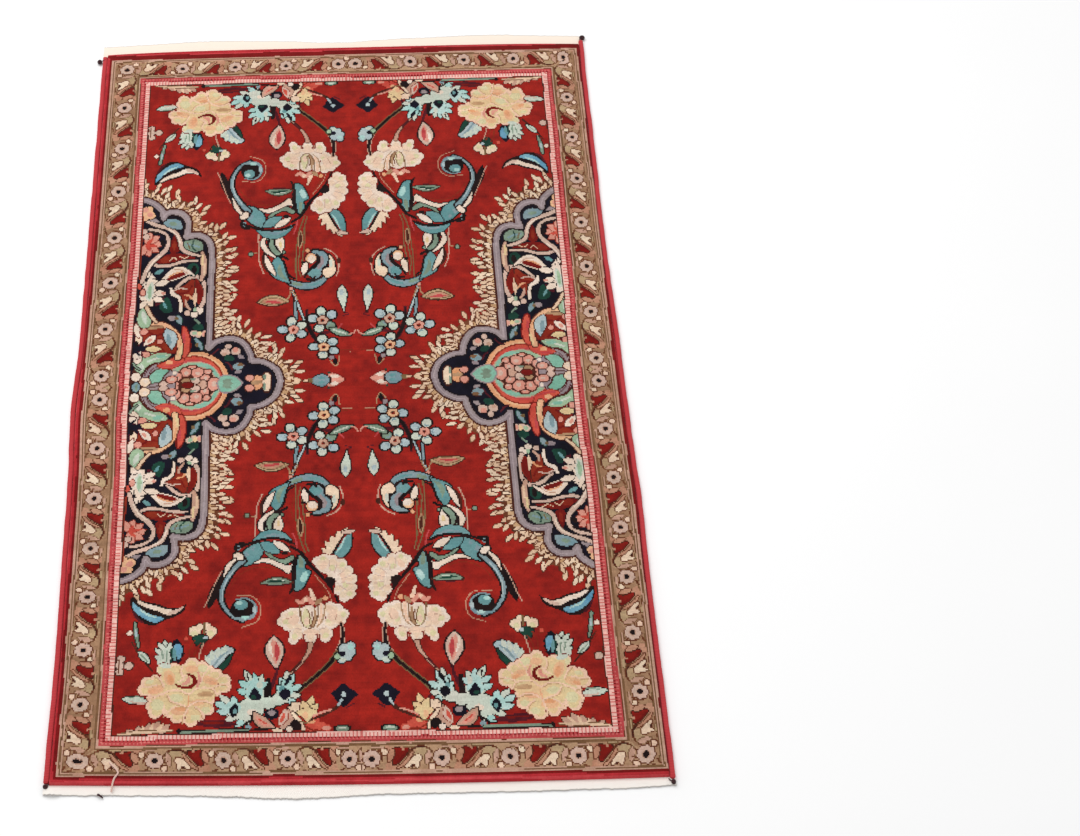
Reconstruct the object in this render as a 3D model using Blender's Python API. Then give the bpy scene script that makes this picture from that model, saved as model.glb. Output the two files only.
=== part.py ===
"""Small hand-knotted floor rug: a knotted pile, two overcast sides, two flat-woven ends, four yarn knots.

Metres, +Z up. The rug lies flat on z = 0 with its length along +Y, its width along +X, and the origin
under its middle. Its plan is a hand-woven one: wider at the near end, a slanted near edge, sides that
bulge a few millimetres and ends of uneven width.
"""

import math

import bmesh
import bpy
import numpy as np

# Plan of the whole rug
HALF_WIDTH_NEAR = 0.4350
HALF_WIDTH_FAR = 0.4236
PILE_NEAR = -0.7228  # the knotted pile's near edge, at the middle
PILE_FAR = 0.7124  # and its far edge
NEAR_SLANT = 0.0095  # how far the near edge drops from the middle to the right side
NEAR_BOW = 0.0048  # how far both its corners draw in from a straight line
FAR_CROWN = 0.0055  # how far the far edge falls back at both corners

# Bulges of the two sides: where along Y, how wide a stretch, how far out
LEFT_BULGES = ((-0.0763, 0.09, 0.0048), (-0.5063, 0.12, -0.0022))
RIGHT_BULGES = ((0.2537, 0.16, -0.0028), (-0.2663, 0.08, 0.0024), (0.7087, 0.06, 0.0022))

# Heights
PILE_HEIGHT = 0.0090
PILE_SHOULDER = 0.0022  # how far the pile's rim is worn down
PILE_SWELL = 0.0005  # gentle rise and fall of the top
FLATWEAVE_HEIGHT = 0.0026

# Overcast sides
SELVEDGE_WIDTH = 0.0080
SELVEDGE_HEIGHT = 0.0074
SELVEDGE_SINK = 0.0004  # how far the round cord is pressed flat underneath
SELVEDGE_SIDES = 10
SELVEDGE_ROWS = 32
# Past the pile's edge: left near, left far, right near, right far
SELVEDGE_OVERRUN = {"left": (-0.0015, -0.0010), "right": (0.0035, 0.0130)}

# Flat-woven ends: width at the middle, then swells as (where across, how wide, how much)
NEAR_END_WIDTH = 0.0145
NEAR_END_SWELLS = ((-0.22, 0.20, 0.0058), (1.0, 0.08, -0.0025))
FAR_END_WIDTH = 0.0250
FAR_END_SWELLS = ((-0.02, 0.17, -0.0070), (0.62, 0.22, 0.0045), (-0.58, 0.22, 0.0050))
END_COLUMNS = 44
EAR_RISE = 0.0042  # the near end's left corner is gathered into a thick ear
EAR_PLACE = -0.975
EAR_SPREAD = 0.022

# Yarn knots at the cord ends: side, end, past the cord's tip, outwards, radius across, radius along
YARN_KNOTS = {
    "yarn_knot_near_left": ("left", "near", 0.0040, 0.0006, 0.0036, 0.0037),
    "yarn_knot_near_right": ("right", "near", 0.0046, 0.0002, 0.0034, 0.0042),
    "yarn_knot_far_left": ("left", "far", -0.0124, 0.0091, 0.0044, 0.0052),
    "yarn_knot_far_right": ("right", "far", 0.0058, 0.0034, 0.0050, 0.0052),
}
KNOT_HEIGHT = 0.0088

CLEARANCE = 0.0003  # between pieces that meet
GRID_ACROSS = 22
GRID_ALONG = 38
RIM_STEP = 0.0035  # width of the pile's worn rim

RED_WOOL = (0.35, 0.020, 0.018)
RED_CORD = (0.33, 0.022, 0.030)
CREAM_COTTON = (0.78, 0.72, 0.62)
DARK_YARN = (0.035, 0.008, 0.014)


def clear_scene():
    for obj in list(bpy.data.objects):
        bpy.data.objects.remove(obj)


def wool(name, colour, roughness):
    """A matt yarn finish in one colour."""
    material = bpy.data.materials.new(name)
    material.use_nodes = True
    shader = material.node_tree.nodes["Principled BSDF"]
    shader.inputs["Base Color"].default_value = (*colour, 1.0)
    shader.inputs["Roughness"].default_value = roughness
    shader.inputs["Metallic"].default_value = 0.0
    material.diffuse_color = (*colour, 1.0)
    return material


def humps(place, table):
    """Sum of bell-shaped swells: amount * exp(-((place - centre) / spread)^2)."""
    place = np.asarray(place, dtype=float)
    return sum(amount * np.exp(-(((place - centre) / spread) ** 2)) for centre, spread, amount in table)


def half_width(y):
    """Straight taper between the near and far half widths."""
    along = (y - PILE_NEAR) / (PILE_FAR - PILE_NEAR)
    return HALF_WIDTH_NEAR + (HALF_WIDTH_FAR - HALF_WIDTH_NEAR) * along


def side(name, y):
    """Outer side of the rug at y: the taper plus that side's bulges."""
    if name == "left":
        return -(half_width(y) + humps(y, LEFT_BULGES))
    return half_width(y) + humps(y, RIGHT_BULGES)


def near_edge(u):
    """Near edge of the pile at u, from -1 at the left side to 1 at the right: slanted and bowed."""
    return PILE_NEAR - NEAR_SLANT * u + NEAR_BOW * u**2


def far_edge(u):
    """Far edge of the pile at u: straight, with both corners falling back."""
    return PILE_FAR - FAR_CROWN * u**4


def pile_x(u, y):
    """The pile lies between the two cords: u = -1 and 1 are its own left and right sides."""
    left = side("left", y) + SELVEDGE_WIDTH + CLEARANCE
    right = side("right", y) - SELVEDGE_WIDTH - CLEARANCE
    return (left + right) / 2 + u * (right - left) / 2


def with_rim(count, half_size):
    """Even steps from -1 to 1, and one more close to each end for the worn rim."""
    rim = 1 - RIM_STEP / half_size
    return np.concatenate(([-1.0], np.linspace(-rim, rim, count), [1.0]))


def shell(name, rings, material):
    """A closed body from rings of equal length: quads between the rings and a cap at each end."""
    mesh = bpy.data.meshes.new(name)
    form = bmesh.new()
    loops = [[form.verts.new(point) for point in ring] for ring in rings]
    for first, second in zip(loops, loops[1:]):
        for i, vert in enumerate(first):
            j = (i + 1) % len(first)
            form.faces.new((vert, second[i], second[j], first[j]))
    form.faces.new(loops[0])
    form.faces.new(loops[-1][::-1])
    bmesh.ops.recalc_face_normals(form, faces=form.faces)
    form.to_mesh(mesh)
    form.free()
    return place(name, mesh, material)


def place(name, mesh, material):
    obj = bpy.data.objects.new(name, mesh)
    mesh.materials.append(material)
    bpy.context.collection.objects.link(obj)
    mesh.shade_smooth()
    mesh.set_sharp_from_angle(angle=math.radians(40))
    return obj


def knotted_pile(material):
    """A slab with a flat underside; its top rises and falls gently and drops at the worn rim."""
    across = with_rim(GRID_ACROSS, HALF_WIDTH_NEAR)
    along = with_rim(GRID_ALONG, PILE_FAR)
    u, v = np.meshgrid(across, along)
    y = near_edge(u) + (v + 1) / 2 * (far_edge(u) - near_edge(u))
    x = pile_x(u, y)
    rim = (np.abs(u) > 0.999) | (np.abs(v) > 0.999)
    swell = PILE_SWELL * np.sin(9.0 * x + 1.0) * np.cos(6.0 * y - 0.5)
    top = PILE_HEIGHT + swell - np.where(rim, PILE_SHOULDER, 0.0)

    rows, columns = u.shape
    form = bmesh.new()
    levels = [
        [[form.verts.new((x[r, c], y[r, c], z[r, c])) for c in range(columns)] for r in range(rows)]
        for z in (np.zeros_like(top), top)
    ]
    under, over = levels
    for r in range(rows - 1):
        for c in range(columns - 1):
            form.faces.new((over[r][c], over[r][c + 1], over[r + 1][c + 1], over[r + 1][c]))
            form.faces.new((under[r][c], under[r + 1][c], under[r + 1][c + 1], under[r][c + 1]))
    border = [(0, c) for c in range(columns)]
    border += [(r, columns - 1) for r in range(1, rows)]
    border += [(rows - 1, c) for c in range(columns - 2, -1, -1)]
    border += [(r, 0) for r in range(rows - 2, 0, -1)]
    for (r, c), (s, d) in zip(border, border[1:] + border[:1]):
        form.faces.new((under[r][c], under[s][d], over[s][d], over[r][c]))
    bmesh.ops.recalc_face_normals(form, faces=form.faces)
    mesh = bpy.data.meshes.new("knotted_pile")
    form.to_mesh(mesh)
    form.free()
    return place("knotted_pile", mesh, material)


def cord_ends(name):
    """Where a side cord starts and stops along Y."""
    u = -1.0 if name == "left" else 1.0
    past_near, past_far = SELVEDGE_OVERRUN[name]
    return near_edge(u) - past_near, far_edge(u) + past_far


def selvedge(name, material):
    """An overcast side cord: a round section pressed flat underneath, carried along the rug's side."""
    inwards = 1.0 if name == "left" else -1.0
    start, stop = cord_ends(name)
    turn = np.arange(SELVEDGE_SIDES) * math.tau / SELVEDGE_SIDES
    offset = SELVEDGE_WIDTH / 2 * (1 + np.cos(turn) * inwards) * inwards
    height = SELVEDGE_HEIGHT / 2 * (1 + np.sin(turn)) - SELVEDGE_SINK
    height = np.maximum(height, 0.0)
    rings = []
    for y in np.linspace(start, stop, SELVEDGE_ROWS):
        rings.append([(side(name, y) + dx, y, z) for dx, z in zip(offset, height)])
    return shell(f"selvedge_{name}", rings, material)


def flatwoven_end(name, edge, away, width, swells, ear, material):
    """A thin strip past the pile's edge: its outer line wavers, and one corner may be gathered thick."""
    rings = []
    for u in np.linspace(-1.0, 1.0, END_COLUMNS):
        inner = edge(u) + away * CLEARANCE
        outer = edge(u) + away * (CLEARANCE + width + float(humps(u, swells)))
        thick = FLATWEAVE_HEIGHT + ear * math.exp(-(((u - EAR_PLACE) / EAR_SPREAD) ** 2))
        lip = (outer - inner) * 0.06
        profile = (
            (inner, 0.0),
            (outer, 0.0),
            (outer, thick * 0.55),
            (outer - lip, thick),
            (inner, thick),
        )
        rings.append([(float(pile_x(u, inner)), y, z) for y, z in profile])
    return shell(name, rings, material)


def yarn_knot(name, material):
    """A lump of tied-off yarn past a cord's tip or beside it: a squashed ball with a flat underside."""
    cord, end, past, outwards, radius_across, radius_along = YARN_KNOTS[name]
    start, stop = cord_ends(cord)
    tip = start - past if end == "near" else stop + past
    out = -1.0 if cord == "left" else 1.0
    x = side(cord, tip) + out * (outwards - SELVEDGE_WIDTH / 2)
    mesh = bpy.data.meshes.new(name)
    form = bmesh.new()
    bmesh.ops.create_uvsphere(form, u_segments=12, v_segments=8, radius=1.0)
    for vert in form.verts:
        lump = 1 + 0.07 * math.sin(3 * vert.co.x + 2 * vert.co.z) * math.cos(4 * vert.co.y)
        vert.co.x = x + vert.co.x * lump * radius_across
        vert.co.y = tip + vert.co.y * radius_along
        vert.co.z = max(KNOT_HEIGHT / 2 * (1 + vert.co.z) - SELVEDGE_SINK, 0.0)
    bmesh.ops.dissolve_degenerate(form, dist=0.00001, edges=form.edges)
    bmesh.ops.recalc_face_normals(form, faces=form.faces)
    form.to_mesh(mesh)
    form.free()
    return place(name, mesh, material)


def build():
    clear_scene()
    red = wool("red_wool_pile", RED_WOOL, 0.85)
    cord = wool("red_overcast_cord", RED_CORD, 0.80)
    cotton = wool("cream_cotton_flatweave", CREAM_COTTON, 0.90)
    dark = wool("dark_yarn", DARK_YARN, 0.85)
    knotted_pile(red)
    for name in ("left", "right"):
        selvedge(name, cord)
    flatwoven_end("kilim_end_near", near_edge, -1.0, NEAR_END_WIDTH, NEAR_END_SWELLS, EAR_RISE, cotton)
    flatwoven_end("kilim_end_far", far_edge, 1.0, FAR_END_WIDTH, FAR_END_SWELLS, 0.0, cotton)
    for name in YARN_KNOTS:
        yarn_knot(name, dark)


build()
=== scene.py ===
"""Looks of a small hand-knotted Persian rug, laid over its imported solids.

The pattern is charted knot by knot: every knot of the pile is one small face with one
yarn, picked by laying flowers, leaves and stems over each other in pattern millimetres.
a runs from the middle of the rug to its side, b from the middle to its end, and the
chart turns over at both middles, as the weaver's own cartoon does.
"""

import math

import bpy
import numpy as np
from mathutils import Matrix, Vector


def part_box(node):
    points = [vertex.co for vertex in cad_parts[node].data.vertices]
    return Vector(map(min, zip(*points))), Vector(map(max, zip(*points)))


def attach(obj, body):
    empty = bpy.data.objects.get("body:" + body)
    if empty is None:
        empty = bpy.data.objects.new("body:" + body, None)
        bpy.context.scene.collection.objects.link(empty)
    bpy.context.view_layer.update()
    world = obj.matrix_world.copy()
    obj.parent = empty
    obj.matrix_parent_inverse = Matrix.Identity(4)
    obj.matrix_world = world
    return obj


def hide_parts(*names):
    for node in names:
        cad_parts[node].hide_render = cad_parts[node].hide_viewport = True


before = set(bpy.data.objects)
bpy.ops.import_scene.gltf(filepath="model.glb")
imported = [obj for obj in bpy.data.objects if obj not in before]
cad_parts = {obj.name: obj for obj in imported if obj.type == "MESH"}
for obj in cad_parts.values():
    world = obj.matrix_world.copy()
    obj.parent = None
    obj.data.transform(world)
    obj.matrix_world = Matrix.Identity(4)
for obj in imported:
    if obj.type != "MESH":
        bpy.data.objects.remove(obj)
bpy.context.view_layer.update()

# ---------------------------------------------------------------- sizes, as in the solids
HALF_WIDTH_NEAR = 0.4350
HALF_WIDTH_FAR = 0.4236
PILE_NEAR = -0.7228
PILE_FAR = 0.7124
NEAR_SLANT = 0.0095
NEAR_BOW = 0.0048
FAR_CROWN = 0.0055
LEFT_BULGES = ((-0.0763, 0.09, 0.0048), (-0.5063, 0.12, -0.0022))
RIGHT_BULGES = ((0.2537, 0.16, -0.0028), (-0.2663, 0.08, 0.0024), (0.7087, 0.06, 0.0022))
SHIFT_Y = -0.0063  # from the pattern's own middle line to the rug's middle
PILE_HEIGHT = 0.0090
PILE_SWELL = 0.0005
FLATWEAVE_HEIGHT = 0.0026
SELVEDGE_WIDTH = 0.0080
SELVEDGE_HEIGHT = 0.0068
SELVEDGE_OVERRUN = {"left": (-0.0015, -0.0010), "right": (0.0035, 0.0130)}
NEAR_END_WIDTH = 0.0145
NEAR_END_SWELLS = ((-0.22, 0.20, 0.0058), (1.0, 0.08, -0.0025))
FAR_END_WIDTH = 0.0250
FAR_END_SWELLS = ((-0.02, 0.17, -0.0070), (0.62, 0.22, 0.0045), (-0.58, 0.22, 0.0050))
EAR_RISE = 0.0042
EAR_PLACE = -0.975
EAR_SPREAD = 0.022
CLEARANCE = 0.0003

# ---------------------------------------------------------------- looks: metres, counts, shares
KNOT_COLUMNS = 476
KNOT_ROWS = 684
STRIPS = 4
PILE_SPAN = (0.85, 1.434)
RIM_WIDTH = 0.0018
RIM_HEIGHTS = (0.0, 0.62, 0.90)
RIM_INSETS = (0.0, 0.0, 0.0007)
WEAR_DEPTH = 0.0005
TUFT_SPREAD = 0.0001
NOISE_ORIGIN = 900
WRAP_PITCH = 0.0024
WRAP_SIDES = 12
WRAP_DEPTH = 0.10
WRAP_LOOSENESS = 0.035
CORD_SQUARENESS = 0.62
CORD_FULLNESS = 1.02
CORD_SWAY = 0.0004
CORD_TIP = 0.004
WEAVE_WAVES = (560, 13)
END_COLUMNS = 780
END_TOP_ROWS = 15
END_UNDER_ROWS = 5
END_TUCK = 0.0006
END_LIFT = 0.0005
END_TAPER = 0.35
END_FLARE = 0.019
THREAD_RISE = 0.00022
PLIES = 2
PLY_DEPTH = 0.12
YARN_TWIST = 900.0
THREAD_TWIST = 1100.0


def humps(place, table):
    """Sum of bell curves: amount * exp(-((place - centre) / spread) ** 2)."""
    total = 0.0
    for centre, spread, amount in table:
        total = total + amount * np.exp(-(((place - centre) / spread) ** 2))
    return total


def half_width(y):
    """Half the rug's width, straight from the near end's to the far end's."""
    share = (y - PILE_NEAR) / (PILE_FAR - PILE_NEAR)
    return HALF_WIDTH_NEAR + share * (HALF_WIDTH_FAR - HALF_WIDTH_NEAR)


def side(name, y):
    """X of the rug's outer left or right line at y."""
    if name == "left":
        return -(half_width(y) + humps(y, LEFT_BULGES))
    return half_width(y) + humps(y, RIGHT_BULGES)


def near_edge(u):
    """Y of the pile's near edge at u, from -1 at the left to 1 at the right."""
    return PILE_NEAR - NEAR_SLANT * u + NEAR_BOW * u**2


def far_edge(u):
    """Y of the pile's far edge at u."""
    return PILE_FAR - FAR_CROWN * u**4


def pile_x(u, y):
    """X of the pile at u, between the two side cords."""
    left = side("left", y) + SELVEDGE_WIDTH + CLEARANCE
    right = side("right", y) - SELVEDGE_WIDTH - CLEARANCE
    return (left + right) / 2 + u * (right - left) / 2


def soft_noise(x, y, size, seed):
    """Smooth noise from -1 to 1: random values on a lattice of that size, eased between."""
    lattice = 256
    table = np.random.RandomState(seed).uniform(-1, 1, (lattice, lattice))
    i = np.floor(x / size)
    j = np.floor(y / size)
    s = x / size - i
    t = y / size - j
    s = s * s * (3 - 2 * s)
    t = t * t * (3 - 2 * t)
    i = i.astype(int) % lattice
    j = j.astype(int) % lattice
    k = (i + 1) % lattice
    m = (j + 1) % lattice
    low = table[i, j] * (1 - s) + table[k, j] * s
    high = table[i, m] * (1 - s) + table[k, m] * s
    return low * (1 - t) + high * t


# ---------------------------------------------------------------- yarns
# Name: sRGB colour, and a second colour that the dye drifts to
YARNS = {
    "field": ((161, 35, 26), (125, 25, 21)),
    "ink": ((22, 14, 16), (38, 22, 20)),
    "umber": ((62, 28, 20), (86, 40, 28)),
    "bark": ((96, 48, 28), (116, 66, 42)),
    "cream": ((232, 208, 180), (224, 190, 164)),
    "ivory": ((232, 212, 196), (222, 198, 176)),
    "teal": ((94, 142, 144), (112, 150, 150)),
    "slate": ((132, 150, 154), (112, 142, 150)),
    "aqua": ((158, 200, 192), (184, 206, 200)),
    "mint": ((194, 204, 188), (200, 198, 184)),
    "sage": ((130, 152, 132), (112, 128, 110)),
    "navy": ((22, 19, 34), (14, 12, 20)),
    "mauve": ((144, 128, 132), (156, 140, 138)),
    "flame": ((228, 196, 166), (208, 170, 138)),
    "tan": ((178, 140, 106), (152, 116, 86)),
    "peach": ((226, 180, 138), (222, 166, 130)),
    "yellow": ((218, 196, 148), (224, 186, 142)),
    "coral": ((204, 88, 70), (190, 68, 56)),
    "orange": ((218, 152, 106), (222, 164, 128)),
    "pink": ((216, 152, 134), (210, 138, 120)),
    "wine": ((122, 24, 17), (102, 18, 16)),
    "rust": ((140, 46, 27), (124, 34, 22)),
    "brick": ((138, 28, 20), (114, 20, 14)),
    "forest": ((28, 68, 54), (22, 50, 42)),
    "olive": ((108, 84, 54), (126, 100, 68)),
    "moss": ((186, 158, 122), (170, 140, 106)),
    "clay": ((192, 142, 116), (178, 124, 98)),
    "ground": ((168, 130, 100), (146, 108, 80)),
    "ground_end": ((184, 147, 115), (164, 126, 96)),
    "shade": ((112, 80, 52), (130, 94, 66)),
    "petal": ((208, 174, 158), (200, 172, 154)),
    "rose": ((190, 74, 76), (178, 62, 62)),
    "dots": ((240, 192, 180), (234, 176, 164)),
    "bead": ((214, 122, 114), (204, 106, 100)),
    "outer": ((184, 48, 54), (168, 38, 44)),
    "flush": ((204, 72, 76), (192, 58, 64)),
    "deep": ((126, 22, 22), (108, 18, 18)),
    "guard": ((200, 158, 138), (180, 138, 116)),
    "pearl": ((176, 188, 186), (160, 178, 184)),
    "leafgreen": ((160, 184, 150), (142, 168, 140)),
    "jade": ((122, 174, 152), (142, 182, 160)),
    "blush": ((228, 192, 166), (232, 200, 176)),
    "celadon": ((214, 204, 162), (210, 196, 152)),
    "plum": ((88, 26, 34), (68, 16, 26)),
    "blue": ((92, 142, 170), (124, 172, 188)),
    "lilac": ((174, 156, 156), (158, 144, 148)),
    "rind": ((236, 198, 170), (228, 186, 160)),
    "sand": ((206, 168, 128), (176, 134, 96)),
}
# How far the dark yarns have worn down, as a share of the deepest wear
WORN = {"ink": 0.5, "umber": 0.3, "bark": 0.2, "navy": 0.4, "forest": 0.2, "olive": 0.1, "plum": 0.1}
YARN_NUMBER = {name: k for k, name in enumerate(YARNS)}


def linear(colours):
    """sRGB 0-255 to linear light."""
    c = np.asarray(colours, float) / 255
    return np.where(c <= 0.04045, c / 12.92, ((c + 0.055) / 1.055) ** 2.4)


# ---------------------------------------------------------------- the chart
def smooth_line(points, steps=9):
    """A Catmull-Rom line through the points, so a few of them give a flowing stem."""
    p = np.asarray(points, float)
    padded = np.vstack([2 * p[0] - p[1], p, 2 * p[-1] - p[-2]])
    t = np.linspace(0, 1, steps, endpoint=False)[None, :, None]
    p0, p1, p2, p3 = (padded[k : k + len(p) - 1][:, None, :] for k in range(4))
    line = 0.5 * (
        2 * p1
        + (p2 - p0) * t
        + (2 * p0 - 5 * p1 + 4 * p2 - p3) * t**2
        + (3 * p1 - p0 - 3 * p2 + p3) * t**3
    )
    return np.vstack([line.reshape(-1, p.shape[1]), p[-1]])


def distance_to_line(a, b, line):
    """Distance from each place to a polyline, and how far along it, from 0 to 1."""
    best = np.full(a.shape, 1e9)
    along = np.zeros(a.shape)
    count = len(line) - 1
    for k in range(count):
        start = line[k]
        way = line[k + 1] - start
        length = max(way @ way, 1e-9)
        share = np.clip(((a - start[0]) * way[0] + (b - start[1]) * way[1]) / length, 0, 1)
        gap = np.hypot(a - start[0] - share * way[0], b - start[1] - share * way[1])
        closer = gap < best
        best = np.where(closer, gap, best)
        along = np.where(closer, (k + share) / count, along)
    return best, along


def within(a, b, line):
    """True where a ray towards -a crosses the closed line an odd number of times."""
    odd = np.zeros(a.shape, bool)
    closed = np.vstack([line, line[:1]])
    for (a0, b0), (a1, b1) in zip(closed[:-1], closed[1:]):
        if b0 == b1:
            continue
        crosses = (b0 > b) != (b1 > b)
        odd ^= crosses & (a > a0 + (b - b0) * (a1 - a0) / (b1 - b0))
    return odd


def points_of(rows):
    """Rows of numbers, from text such as "12,40 18,52" or as they are."""
    if isinstance(rows, str):
        rows = [[float(value) for value in row.split(",")] for row in rows.split()]
    return np.asarray(rows, float)


def style_of(style):
    """A style is a yarn, a yarn and its outline's yarn, or both and the outline's width."""
    words = style.split()
    edge = words[1] if len(words) > 1 else None
    rim = float(words[2]) if len(words) > 2 else 1.9
    return words[0], edge, rim


class Chart:
    """Knots at places (a, b), each with one yarn. Later shapes cover earlier ones.
    Each shape is a reach: below 0 inside, and outside it the distance in pattern mm."""

    def __init__(self, a, b):
        self.a = a
        self.b = b
        self.yarn = np.full(a.shape, YARN_NUMBER["field"], np.int16)

    def lay(self, line, span, reach, style):
        """Knots whose reach is below 0 take the yarn, and below the rim the edge's yarn.
        Only those in the line's box, widened by the span and the rim, are looked at."""
        yarn, edge, rim = style_of(style)
        low = line.min(0) - span - rim - 1
        high = line.max(0) + span + rim + 1
        in_a = (self.a > low[0]) & (self.a < high[0])
        inside = np.flatnonzero(in_a & (self.b > low[1]) & (self.b < high[1]))
        if not len(inside):
            return
        gap = reach(self.a[inside], self.b[inside])
        if edge:
            self.yarn[inside[gap < rim]] = YARN_NUMBER[edge]
        self.yarn[inside[gap < 0]] = YARN_NUMBER[yarn]

    def blob(self, a, b, ra, rb, style, turn=0.0):
        """An ellipse: the place over the half axes, less 1, times the smaller half axis."""
        c, s = math.cos(math.radians(turn)), math.sin(math.radians(turn))

        def reach(x, y):
            u = (x - a) * c + (y - b) * s
            v = -(x - a) * s + (y - b) * c
            return (np.hypot(u / ra, v / rb) - 1) * min(ra, rb)

        self.lay(np.array([[a, b]], float), max(ra, rb), reach, style)

    def blobs(self, *rows):
        """Several ellipses, each as blob takes it."""
        for row in rows:
            self.blob(*row)

    def dots(self, places, radius, style):
        """Small round spots."""
        for a, b in points_of(places):
            self.blob(a, b, radius, radius * 1.1, style)

    def cluster(self, lobes, style):
        """Round lobes (a, b, radius) as one shape with one outline."""
        yarn, edge, rim = style_of(style)
        if edge:
            for a, b, r in points_of(lobes):
                self.blob(a, b, r + rim, r + rim, edge)
        for a, b, r in points_of(lobes):
            self.blob(a, b, r, r, yarn)

    def flower(self, a, b, radius, petals, style, depth, turn):
        """Round petals: radius * (1 - depth * (1 - |cos(petals * angle / 2)|))."""

        def reach(x, y):
            angle = np.arctan2(y - b, x - a) - math.radians(turn)
            lobe = 1 - depth * (1 - np.abs(np.cos(petals * angle / 2)))
            return np.hypot(x - a, y - b) - radius * lobe

        self.lay(np.array([[a, b]], float), radius, reach, style)

    def leaf(self, ends, width, style, fat=0.5, bend=0.0, teeth=0, bite=0.35, half=0):
        """A pointed leaf from base to tip. Its half width is a sine arch that is widest at
        fat, its middle line bows out by bend, and saw teeth lean towards the tip."""
        ends = points_of(ends)
        base, tip = ends
        length = float(np.hypot(*(tip - base)))
        t = (tip - base) / length
        power = math.log(0.5) / math.log(fat)

        def reach(x, y):
            u = ((x - base[0]) * t[0] + (y - base[1]) * t[1]) / length
            v = -(x - base[0]) * t[1] + (y - base[1]) * t[0]
            inside = np.clip(u, 0, 1)
            v = v - bend * 4 * inside * (1 - inside)
            arch = np.sin(np.pi * inside**power)
            wide = width / 2 * np.clip(arch, 0, 1) ** 0.8
            if teeth:
                wide = wide * (1 - bite * (1 - np.mod(inside * teeth, 1)))
            gap = np.abs(v) - wide
            over = np.maximum(-u, u - 1) * length
            gap = np.where(over > 0, np.hypot(over, v), gap)
            return np.where(v * half > 0, gap, 99) if half else gap

        self.lay(ends, width / 2 + abs(bend), reach, style)

    def leaves(self, lines, width, style, fat=0.5):
        """Several leaves of one width and style, each from its base to its tip."""
        for ends in lines.split(";"):
            self.leaf(ends, width, style, fat)

    def spray(self, root, tips, width, style, fat=0.5):
        """Leaves from one root, such as the petals of a fan."""
        for tip in tips.split():
            self.leaf(root + " " + tip, width, style, fat)

    def stroke(self, points, width, style):
        """A flowing line through the points. A list of widths tapers it along the way."""
        line = smooth_line(points_of(points))
        widths = np.atleast_1d(np.asarray(width, float))
        stations = np.linspace(0, 1, len(widths))

        def reach(x, y):
            gap, along = distance_to_line(x, y, line)
            return gap - np.interp(along, stations, widths) / 2

        self.lay(line, widths.max() / 2, reach, style)

    def strokes(self, lines, width, style):
        """Several flowing lines of one width and style."""
        for points in lines.split(";"):
            self.stroke(points, width, style)

    def patch(self, outline, style):
        """A closed shape whose outline flows through the points."""
        points = points_of(outline)
        steps = 5
        loop = np.vstack([points[-1:], points, points[:2]])
        line = smooth_line(loop, steps)[steps:-steps]

        def reach(x, y):
            gap, _ = distance_to_line(x, y, line)
            return np.where(within(x, y, line), -gap, gap)

        self.lay(line, 0, reach, style)


# ---------------------------------------------------------------- field motifs
# Each floret: its middle, its heart's yarn, then the middles and yarns of its petals
FLORETS = (
    (54, 69, "peach", "55,52 70,70 56,87 39,80 37,61", ("mint", "pearl", "mint", "pearl", "pearl")),
    (102, 107, "pink", "88,97 107,90 120,108 105,124 88,115", ("pearl", "mint", "pearl", "mint", "mint")),
    (55, 123, "guard", "61,107 42,111 39,133 57,140 71,127", ("mint", "sage", "pearl", "mint", "pearl")),
)


def floret(c, a, b, heart, places, yarns):
    """Five dark-edged petals with slate hollows round a heart. Each petal is drawn in a
    twentieth of the way to the heart and turned to point at it."""
    for (pa, pb), yarn in zip(points_of(places), yarns):
        turn = math.degrees(math.atan2(pb - b, pa - a))
        pa, pb = pa * 0.95 + a * 0.05, pb * 0.95 + b * 0.05
        c.blob(pa, pb, 7.8, 7.2, yarn + " ink 2.7", turn)
        c.blob(pa * 0.86 + a * 0.14, pb * 0.86 + b * 0.14, 4.4, 3.6, "slate", turn)
        c.blob(pa + (pa - a) * 0.06, pb + (pb - b) * 0.06, 5, 4, yarn, turn)
    c.flower(a, b, 8.8, 5, heart + " umber 1.8", 0.2, 20)
    c.blobs((a, b, 3.4, 3.4, "rust"), (a - 1, b - 1, 2, 2, "ink"))


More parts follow.
